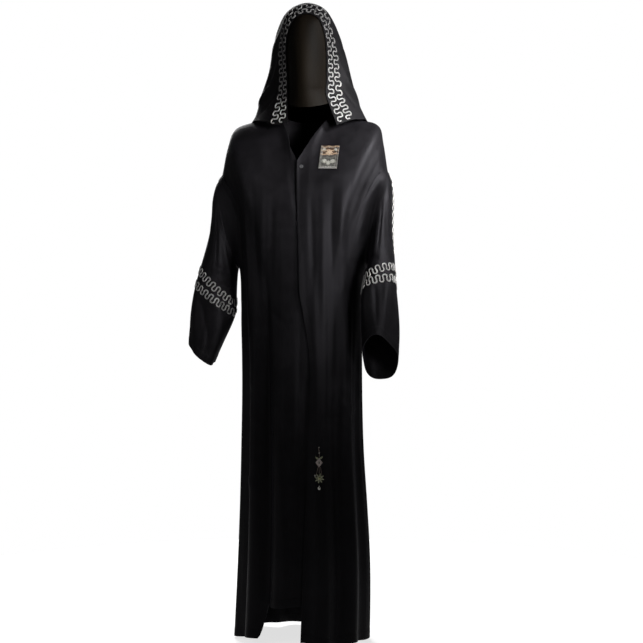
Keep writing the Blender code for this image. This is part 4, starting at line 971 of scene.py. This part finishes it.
def badge_satin(name):
    """Woven panel of the badge: brown satin above, silver-grey below, both with gold and dark threads."""
    made, place, _ = finish(name, roughness=0.42, specular_ior_level=0.16, sheen_weight=0.02)
    x, _, z = place.parts()
    z = z - BADGE["centre"][2] * MM
    x = x - BADGE["centre"][0] * MM - z * BADGE["lean"]
    wide, tall = BADGE["width"] / 2 * MM, BADGE["height"] / 2 * MM
    twill = ((x + z) * 6200.0).sin() * 0.5 + 0.5
    cloud = place.noise(260.0, 3.0)
    lower = z.step(0.002, -0.003)
    ripple = ((z * 620.0 + (x * 300.0).sin() * 0.9).sin() * 0.5 + 0.5).step(0.62, 0.95)
    patchy = cloud.step(0.3, 0.7)
    brown = patchy.tint((0.005, 0.0028, 0.0016), (0.020, 0.010, 0.005))
    colour = lower.tint(brown, patchy.tint((0.004, 0.0038, 0.0035), (0.020, 0.019, 0.017)))
    colour = (ripple * (1 - lower) * 0.7).tint(colour, (0.125, 0.088, 0.058))
    colour = (ripple * lower * 0.25).tint(colour, (0.06, 0.06, 0.052))
    bars = (z.size() - (tall - 0.0041)).step(0.0, 0.0004)
    frame = bars.most((x.size() - (wide - 0.0030)).step(0.0, 0.0004) * 0.45)
    thread = ((x * 0.6 + z) * 7400.0).sin() * 0.5 + 0.5
    pale = (thread * 0.5 + cloud * 0.5).step(0.2, 0.8).tint((0.022, 0.021, 0.020), (0.115, 0.112, 0.106))
    relief = (twill * 0.5 + thread * frame * 0.7 + cloud * 0.4).bumped(0.00025, 0.8)
    return connected(made, frame.tint(colour, pale), 0.36 + cloud * 0.22, relief, Metallic=frame * 0.35)


def beadwork(name, dark, light, metallic, roughness):
    """Small glass or metal beads, each bead a little lighter or darker than the next."""
    made, place, _ = finish(name, roughness=roughness, specular_ior_level=0.6, coat_weight=0.4,
                            coat_roughness=0.12)
    each, cloud = place.noise(240.0, 0.0), place.noise(900.0)
    colour = (each * 0.7 + cloud * 0.3).step(0.34, 0.68).tint(dark, light)
    rough = roughness * 0.7 + cloud * roughness * 0.6
    return connected(made, colour, rough, cloud.bumped(0.0001, 0.5), Metallic=metallic + each * 0.1)


PRIMITIVES = {
    "grid": bpy.ops.mesh.primitive_grid_add,
    "circle": bpy.ops.mesh.primitive_circle_add,
    "cylinder": bpy.ops.mesh.primitive_cylinder_add,
    "uv_sphere": bpy.ops.mesh.primitive_uv_sphere_add,
    "ico_sphere": bpy.ops.mesh.primitive_ico_sphere_add,
}


def begun(name, kind, **sizes):
    """A new piece from a primitive standing at the origin, its face to the front, left in edit mode."""
    PRIMITIVES[kind](rotation=(math.pi / 2, 0, 0), **sizes)
    piece = bpy.context.object
    piece.name = piece.data.name = name
    bpy.ops.object.transform_apply(location=True, rotation=True, scale=True)
    bpy.ops.object.mode_set(mode="EDIT")
    return piece


def pick(kind, test):
    """Select, in edit mode, the faces, edges or points whose middle and facing pass a test."""
    bpy.ops.mesh.select_all(action="DESELECT")
    bpy.ops.mesh.select_mode(type={"faces": "FACE", "edges": "EDGE", "points": "VERT"}[kind])
    bpy.ops.object.mode_set(mode="OBJECT")
    mesh = bpy.context.object.data
    if kind == "points":
        for point in mesh.vertices:
            point.select = bool(test(point.co / MM, point.normal))
    elif kind == "faces":
        for face in mesh.polygons:
            face.select = bool(test(face.center / MM, face.normal))
    else:
        for edge in mesh.edges:
            a, b = (mesh.vertices[k].co for k in edge.vertices)
            edge.select = bool(test((a + b) / 2 / MM, a - b))
    bpy.ops.object.mode_set(mode="EDIT")


def pick_all():
    bpy.ops.mesh.select_all(action="SELECT")


def inset(by):
    bpy.ops.mesh.inset(thickness=by * MM)


def raise_by(height, narrower=0.0):
    """Extrude the picked faces to the front by a height in mm, then narrow them."""
    bpy.ops.mesh.extrude_region_move(TRANSFORM_OT_translate={"value": (0, -height * MM, 0)})
    if narrower:
        inset(narrower)


def lift_up(by):
    bpy.ops.transform.translate(value=(0, 0, by * MM))


def stretch(x=1.0, y=1.0, z=1.0):
    """Resize what is picked about the piece's own middle."""
    bpy.ops.transform.resize(value=(x, y, z), center_override=(0, 0, 0))


def scattered(piece, places):
    """Copies of a piece at places in mm, each turned and sized, joined into the one piece."""
    bpy.ops.object.mode_set(mode="OBJECT")
    things = [piece]
    for _ in places[1:]:
        more = piece.copy()
        more.data = piece.data.copy()
        bpy.context.scene.collection.objects.link(more)
        things.append(more)
    bpy.ops.object.select_all(action="DESELECT")
    for thing, (x, z, turn, size) in zip(things, places):
        thing.location = (x * MM, 0, z * MM)
        thing.rotation_euler = (0, math.radians(turn), 0)
        thing.scale = (size, size, size)
        thing.select_set(True)
    bpy.context.view_layer.objects.active = piece
    bpy.ops.object.transform_apply(location=True, rotation=True, scale=True)
    if len(things) > 1:
        bpy.ops.object.join()


def round_about(x, z, count, away, size, first=0.0, turned=True):
    """Places evenly round a middle: across, up, turn and size."""
    turns = [first + 360 / count * k for k in range(count)]
    ways = [(math.sin(math.radians(turn)), math.cos(math.radians(turn)), turn * turned) for turn in turns]
    return [(x + away * out, z + away * up, turn, size) for out, up, turn in ways]


def laid(piece, tree, sizes, finish, lift, smooth=40):
    """A finished flat piece laid on the robe, lifted in mm: its face follows the cloth under it."""
    if bpy.context.object.mode == "EDIT":
        bpy.ops.object.mode_set(mode="OBJECT")
    centre = np.array(sizes["centre"]) * MM
    forward = unit(np.array(tree.find_nearest(Vector(centre))[1]))
    forward = forward if forward[1] < 0 else -forward
    for point in piece.data.vertices:
        x, y, z = point.co
        spot = centre + np.array([x + sizes["lean"] * z, 0, z])
        point.co = Vector(snapped(tree, spot, forward, lift * MM - y))
    bpy.ops.object.mode_set(mode="EDIT")
    pick_all()
    bpy.ops.mesh.remove_doubles(threshold=0.02 * MM)
    bpy.ops.mesh.normals_make_consistent(inside=False)
    bpy.ops.object.mode_set(mode="OBJECT")
    bpy.ops.object.shade_smooth_by_angle(angle=math.radians(smooth))
    piece.data.materials.clear()
    piece.data.materials.append(FINISH[finish])
    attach(piece, "root")
    return piece


def badge_pieces(tree):
    """The chest badge: framed satin panel, star, rosettes and a row of small pearls."""
    def sewn(piece, finish, lift, smooth=40):
        return laid(piece, tree, BADGE, finish, lift, smooth)

    wide, tall = BADGE["width"] / 2, BADGE["height"] / 2
    panel = begun("chest_badge_panel", "grid", x_subdivisions=14, y_subdivisions=20, size=1)
    stretch(2 * wide * MM, 1, 2 * tall * MM)
    pick_all()
    raise_by(0.9)
    pick("faces", lambda m, n: max(n.y, m.y) < -0.5 and (abs(m.x) > wide - 3.6 or abs(m.z) > tall - 3.7))
    raise_by(0.9, 0.7)
    raise_by(0.35)
    pick("faces", lambda m, n: n.y < -0.5 and abs(m.y + 0.9) < 0.1
         and abs(m.x) < wide - 7 and abs(m.z) < tall - 7)
    raise_by(0.3)
    pieces = [sewn(panel, "badge", 0.3)]

    star = begun("chest_badge_star", "circle", vertices=16, radius=10.5 * MM, fill_type="NGON")
    pick("points", lambda m, n: round(math.degrees(math.atan2(m.z, m.x)) / 22.5) % 2 == 1)
    stretch(0.56, 1, 0.56)
    pick_all()
    raise_by(0.7)
    bpy.ops.mesh.poke(offset=0.9 * MM)
    scattered(star, [(0, 13, 0, 1.0)])
    pieces.append(sewn(star, "gold", 1.4, smooth=15))

    petal = begun("chest_badge_rosettes", "uv_sphere", segments=10, ring_count=6, radius=2.4 * MM)
    stretch(0.55, 0.5, 1.0)
    large, small = ((-11, -14), (0, -19), (11, -14)), ((-15, 23.5), (15, 23.5))
    rosettes = [(*at, 1.3) for at in large] + [(*at, 0.9) for at in small]
    scattered(petal, [place for x, z, size in rosettes for place in round_about(x, z, 8, 3.1 * size, size)])
    pieces.append(sewn(petal, "silver", 1.5))

    pearl = begun("chest_badge_pearls", "ico_sphere", subdivisions=2, radius=1.0 * MM)
    places = [(*at, 0, 1.65) for at in large] + [(*at, 0, 1.35) for at in small] + [(0, 13, 0, 1.8)]
    in_x, in_z = wide - 5.6, tall - 5.6
    places += [(-in_x + 2 * in_x * k / 9, s * in_z, 0, 0.85) for k in range(10) for s in (-1, 1)]
    places += [(s * in_x, -in_z + 2 * in_z * k / 15, 0, 0.85) for k in range(1, 15) for s in (-1, 1)]
    scattered(pearl, places)
    pieces.append(sewn(pearl, "pearl", 1.7))
    return pieces


def drop_pieces(tree):
    """The drop low on the left front: stem, open diamond, three strands, flower and bead."""
    def sewn(piece, places, finish, lift):
        scattered(piece, places)
        return laid(piece, tree, DROP, finish, lift)

    stem = begun("drop_ornament_stem", "cylinder", vertices=10, radius=1.0 * MM, depth=1.6 * MM)
    pick("faces", lambda m, n: n.y < -0.5)
    inset(0.35)
    raise_by(0.3)
    pick_all()
    stretch(0.85, 1, 1.9)
    places = [(1.2 * math.sin(z * 0.2), z, 8 * math.sin(z * 0.2), 1.0) for z in np.arange(28.5, 57, 3.1)]
    for x, low, high in ((-6.5, -13, 4), (0.4, -10, 6), (7.6, -16, 5)):
        places += [(x * (0.35 + 0.65 * max(0.0, (high - z) / (high - low)) ** 0.6), z, -x * 1.2, 0.8)
                   for z in np.arange(low, high + 1, 2.5)]
    pieces = [sewn(stem, places, "stem", 0.9)]

    diamond = begun("drop_ornament_diamond", "circle", vertices=4, radius=11.5 * MM, fill_type="NGON")
    stretch(0.84, 1, 1.05)
    pick_all()
    inset(5.2)
    bpy.ops.mesh.delete(type="FACE")
    pick_all()
    bpy.ops.mesh.subdivide(number_cuts=3)
    pick_all()
    raise_by(1.3, 0.8)
    raise_by(0.5)
    pieces.append(sewn(diamond, [(0.0, 17, 0, 1.0)], "warm", 0.3))

    petal = begun("drop_ornament_petals", "uv_sphere", segments=12, ring_count=8, radius=5.2 * MM)
    stretch(0.46, 0.3, 1.0)
    pick("points", lambda m, n: m.z > 4.9)
    lift_up(1.3)
    places = round_about(1.0, -24, 8, 7.6, 0.92, first=12) + [(-5.2, 28.5, -52, 1.0), (5.4, 30, 52, 1.0)]
    pieces.append(sewn(petal, places, "leaf", 1.3))

    heart = begun("drop_ornament_heart", "uv_sphere", segments=16, ring_count=10, radius=4.0 * MM)
    stretch(1, 0.6, 1)
    pieces.append(sewn(heart, [(1.0, -24, 0, 1.0)], "green", 1.2))

    bead = begun("drop_ornament_beads", "ico_sphere", subdivisions=2, radius=1.5 * MM)
    places = round_about(1.0, -24, 10, 4.9, 0.55, turned=False)
    places += [(x, z, 0, size) for x, z, size in (
        (-10.5, -17, 1.7), (0.3, 27.5, 1.1), (0.6, 43, 1.2), (0.0, 57, 1.0), (-0.4, 17, 0.9),
    )]
    pieces.append(sewn(bead, places, "pearl", 1.6))

    tear = begun("drop_ornament_tear", "uv_sphere", segments=16, ring_count=10, radius=4.6 * MM)
    pick("points", lambda m, n: m.z > 2.2)
    stretch(0.5, 0.7, 1.0)
    pick("points", lambda m, n: m.z > 3.6)
    lift_up(3.2)
    pick_all()
    stretch(1, 0.55, 1)
    pieces.append(sewn(tear, [(0.2, -50, 0, 1.0)], "pearl", 1.4))
    return pieces


def press_stud(tree):
    """The press stud at the bottom of the neck opening: a low cap with a rolled rim."""
    cap = begun("front_snap_cap", "cylinder", vertices=28, radius=4.8 * MM, depth=0.7 * MM)
    pick("faces", lambda m, n: n.y < -0.5)
    inset(0.5)
    raise_by(0.5, 0.7)
    raise_by(-0.35, 0.5)
    raise_by(0.5, 0.9)
    pick("edges", lambda m, d: abs(d.y) < 1e-6 and math.hypot(m.x, m.z) > 2.6 and m.y < 0)
    bpy.ops.mesh.bevel(offset=0.12 * MM, segments=2)
    return [laid(cap, tree, {"centre": SNAP_AT, "lean": 0.0}, "snap", 0.7)]


FINISH = {
    "robe": satin_crepe("black_satin_crepe", (0.0015, 0.0014, 0.0016), (0.62, 0.55, 0.85)),
    "veil": georgette("black_georgette", (0.0017, 0.0016, 0.0018)),
    "face": chiffon("sheer_chiffon", (0.0014, 0.0010, 0.0006)),
    "braid": silver_braid("silver_braid"),
    "badge": badge_satin("badge_satin"),
    "gold": thread_work("gold_thread", (0.038, 0.024, 0.013), (0.16, 0.120, 0.082), 35, 0.25),
    "silver": thread_work("silver_thread", (0.022, 0.022, 0.018), (0.115, 0.113, 0.097), -40, 0.25),
    "stem": thread_work("stem_thread", (0.024, 0.017, 0.014), (0.095, 0.074, 0.064), 80, 0.2),
    "warm": thread_work("warm_thread", (0.042, 0.034, 0.031), (0.200, 0.168, 0.158), -40, 0.3),
    "leaf": thread_work("leaf_thread", (0.024, 0.026, 0.014), (0.140, 0.146, 0.088), -40, 0.3),
    "pearl": beadwork("pearl_bead", (0.05, 0.048, 0.044), (0.18, 0.175, 0.155), 0.15, 0.3),
    "green": beadwork("green_bead", (0.035, 0.038, 0.009), (0.14, 0.145, 0.05), 0.1, 0.25),
    "snap": beadwork("press_stud_metal", (0.012, 0.012, 0.013), (0.045, 0.045, 0.047), 0.6, 0.4),
}
made = {}


def stands_for(piece, node):
    """A finished piece takes the place of a node."""
    made[node] = piece
    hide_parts(node)


# The robe, of double cloth at its hems and front edges.
robe = creased(robe_panels())
normals = dict(zip(robe, normals_of(list(robe.values()))))
for name, grid in robe.items():
    across, down = lengths(grid)
    to_end = across[:, -1:] - across
    sleeve, hem = name.startswith("sleeve"), down[-1] - down
    seam, edge = down if sleeve else np.minimum(across, to_end), np.full(grid.shape[:2], 1.0)
    if name.startswith("front"):
        seam, edge = (across, to_end) if name == "front_right" else (to_end, across)
    thick = ROBE_THICK * (1 + 1.2 * (hem < HEM_TURN) + 0.6 * (edge < EDGE_TURN))
    marks = {"hem": hem, "seam": seam, "edge": edge}
    stands_for(cloth(name + "_cloth", grid, normals[name], thick, FINISH["robe"], sleeve, marks), name)

# The head veil, folded and then laid over the shoulders of the robe.
under = tree_of(*(robe[k] + normals[k] * ROBE_THICK for k in ("front_right", "front_left", "back")))
veil = veil_grid(np.linspace(0, VEIL_ROWS, VEIL_ROWS * FINE_VEIL_ROWS + 1),
                 np.linspace(0, VEIL_COLUMNS, VEIL_COLUMNS * FINE_VEIL_COLUMNS + 1))
rows, cols = veil.shape[:2]
down_share = np.linspace(0, 1, rows)[:, None] * np.ones(cols)
turn_share = -np.linspace(-1, 1, cols)[None] * np.ones((rows, 1))
out = np.zeros((rows, cols))
for *ends, width, deep in VEIL_CREASES:
    ends = np.array(ends) * ([VEIL_HALF, VEIL_LONG] * 2)
    out += deep * MM * crease(turn_share * VEIL_HALF, down_share * VEIL_LONG, ends, width)
veil = veil + normals_of([veil])[0] * (out * ease(0.05, 0.14, down_share))[:, :, None]
veil = kept_off(veil, under, VEIL_CLEAR, unit(normals_of([veil])[0] + np.array([0.0, 0.0, 1.0])))
veil_normals = normals_of([veil])[0]
across, down = lengths(veil)
hem = np.minimum(np.minimum(down, down[-1] - down), np.minimum(across, across[:, -1:] - across))
thick = VEIL_THICK * (1 + 0.6 * (hem < VEIL_TURN))
piece = cloth("head_veil_cloth", veil, veil_normals, thick, FINISH["veil"], marks={"hem": hem})
stands_for(piece, "head_veil")


def face_points(veil, normals):
    """Coarse points of the face veil: its sides and top lie inside the head veil's front edge."""
    middle, across = VEIL_COLUMNS / 2, np.linspace(-1, 1, FACE_COLUMNS - 1)

    def place(row, col, inside=FACE_IN):
        at = row * FINE_VEIL_ROWS, col * FINE_VEIL_COLUMNS
        return on_grid(veil, *at) - unit(on_grid(normals, *at)) * inside

    rows = []
    reach = np.concatenate([[-1.6, -1.3], across, [1.3, 1.6]])
    for row, inside in ((2.2, 2.4 * MM), (1.1, 2.8 * MM), (0.0, FACE_IN)):
        rows.append([place(row, middle + r, inside) for r in reach])
    for apart, forward in FACE_LINE:
        left = [place(r, middle - apart) for r in (2.2, 1.1)]
        right = [place(r, middle + apart) for r in (1.1, 2.2)]
        lips = [place(0.0, middle + s * apart) for s in (-1, 1)]
        between = (lips[0] + lips[1]) / 2
        sag = FACE_SAG * ease(110 * MM, 30 * MM, between[2])
        bow = np.array([between[0], forward * MM, between[2] - sag]) - between
        inner = [lips[0] + (lips[1] - lips[0]) * (u + 1) / 2 + bow * (1 - u * u) for u in across]
        rows.append(left + inner + right)
    return np.array(rows)


face = face_points(veil[:, ::-1], veil_normals[:, ::-1])
face = finer(face, np.linspace(0, face.shape[0] - 1, FACE_FINE_ROWS),
             np.linspace(0, face.shape[1] - 1, FACE_FINE_COLUMNS))
face_down = lengths(face)[1]
stands_for(cloth("face_veil_cloth", face, normals_of([face])[0], FACE_THICK, FINISH["face"],
                 marks={"hem": face_down[-1] - face_down}), "face_veil")

# Two rows of braid along the head veil's front edge, each further in and wider towards its ends.
on_veil = tree_of(veil + veil_normals * VEIL_THICK / 2)
beat = None
for name, (inside, wider, swing) in VEIL_BRAIDS.items():
    line, ways, waves = [], [], []
    for j in range(1, cols - 1):
        low = ease(0.55, 1.0, abs(turn_share[0, j]))
        row = float(np.interp((inside + wider * low) * MM, down[:, j], np.arange(rows)))
        line.append(on_grid(veil, row, j))
        ways.append(veil_normals[int(round(row)), j])
        waves.append(swing * MM * (0.74 + 0.26 * low))
    beat = braid(name, line, ways, on_veil, waves, VEIL_PITCH, beat)

# Two rings and an overarm row of braid on each sleeve.
for side in SIDES:
    grid, ways = robe["sleeve_" + side], normals["sleeve_" + side]
    tree = tree_of(grid + ways * ROBE_THICK / 2)
    last, half = grid.shape[0] - 1, (grid.shape[1] - 1) // 2
    down, index, beat = lengths(grid)[1], np.arange(last + 1), None
    for place, (at, shift, tilt) in RING_BRAIDS[side].items():
        line, way = [], []
        for j in [(half + k) % (2 * half) for k in range(1, 2 * half)]:
            lower = (shift + tilt * (1 - math.cos(math.pi * j / half)) / 2) * MM
            row = np.interp(np.interp(at * last, index, down[:, j]) + lower, down[:, j], index)
            line.append(on_grid(grid, row, j))
            way.append(unit(on_grid(ways, row, j)))
        beat = braid(f"sleeve_{side}_braid_{place}", line, way, tree, *RING_TURNS, beat)
    down_to = int((RING_BRAIDS[side]["upper"][0] * SLEEVE_ROWS - 1.0) * FINE_SLEEVE)
    braid(f"sleeve_{side}_seam_braid", grid[2:down_to, 0], ways[2:down_to, 0], tree, *SEAM_TURNS)

front = tree_of(robe["front_left"] + normals["front_left"] * ROBE_THICK / 2)
badge, drop, snap = badge_pieces(front), drop_pieces(front), press_stud(front)
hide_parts("chest_badge")
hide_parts("drop_ornament")
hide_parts("front_snap")

# Each sheet: its cut in metres, width and length, the flat area of the cut, and how it is held.
SHEETS = {
    "front_right": ((0.46, 1.42), 0.446, "hung", ()),
    "front_left": ((0.34, 1.45), 0.307, "hung", ()),
    "back": ((0.62, 1.44), 0.702, "hung", ()),
    "sleeve_right": ((0.645, 0.48), 0.130, "hung", ()),
    "sleeve_left": ((0.65, 0.51), 0.143, "hung", ()),
    "head_veil": ((0.76, 0.91), 0.370, "draped", ("front_right", "front_left", "back")),
    "face_veil": ((0.205, 0.30), 0.049, "hung", ("head_veil",)),
}
for name, (flat, area, held, under_it) in SHEETS.items():
    on_it = [piece for key, piece in made.items() if key.startswith(name + "_")]
    on_it += [made["veil_braid_outer"], made["veil_braid_inner"]] if name == "head_veil" else []
    on_it += badge + drop + snap if name == "front_left" else []

# Stage, light and camera.
bpy.ops.mesh.primitive_circle_add(vertices=96, radius=1.7, fill_type="NGON", location=(0, 0, FLOOR_Z))
floor = bpy.context.object
floor.name = "pale_floor"
bpy.ops.object.transform_apply(location=True, rotation=True, scale=True)
pale, spot, _ = finish("pale_floor", roughness=0.9, specular_ior_level=0.1, emission_strength=0.72,
                       emission_color=(1, 1, 1, 1))
floor.data.materials.append(connected(pale, spot.noise(1.3).step(0.2, 0.8).tint((0.42,) * 3, (0.46,) * 3)))

# The room is white to the camera and lights the cloth only a little.
world = bpy.data.worlds.new("soft_room")
bpy.context.scene.world = world
world.use_nodes = True
room = world.node_tree.nodes["Background"]
room.inputs["Color"].default_value = (1, 1, 1, 1)
seen = Socket(world.node_tree, world.node_tree.nodes.new("ShaderNodeLightPath").outputs["Is Camera Ray"])
world.node_tree.links.new((seen * 0.86 + 0.14).link, room.inputs["Strength"])


def placed(name, data, place, way):
    """A light or camera at a place, looking along a way."""
    thing = bpy.data.objects.new(name, data)
    bpy.context.scene.collection.objects.link(thing)
    thing.location = place
    thing.rotation_euler = way.to_track_quat("-Z", "Y").to_euler()
    return thing


# Each light: place, what it faces, width and height in metres, watts and spread in degrees.
for name, place, at, size, power, beam in (
    ("key", (1.9, -1.6, 0.3), (0.26, 0, 0.08), (0.7, 0.8), 13, 30),
    ("side", (1.9, -0.5, 0.9), (0.29, 0, -0.02), (0.4, 0.4), 10, 30),
    ("fill", (-2.2, -2.4, 0.6), (0, 0, 0.0), (1.2, 1.2), 4, 60),
    ("back", (-1.2, 2.6, 1.4), (0, 0, -0.5), (1.6, 1.6), 190, 180),
):
    lamp = bpy.data.lights.new(name, "AREA")
    lamp.shape = "RECTANGLE"
    lamp.size, lamp.size_y = size
    lamp.energy, lamp.spread = power, math.radians(beam)
    placed(name, lamp, place, Vector(at) - Vector(place))

azimuth, far, view_width = math.radians(14.5), 3.8, 1.755
ahead = Vector((-math.sin(azimuth), math.cos(azimuth), 0))
lens = bpy.data.cameras.new("camera")
lens.sensor_width = 36
lens.lens = lens.sensor_width * far / view_width
lens.shift_x = 0.025
bpy.context.scene.camera = placed("camera", lens, Vector((0, 0, -0.55)) - ahead * far, ahead)
bpy.context.scene.view_settings.view_transform = "Standard"
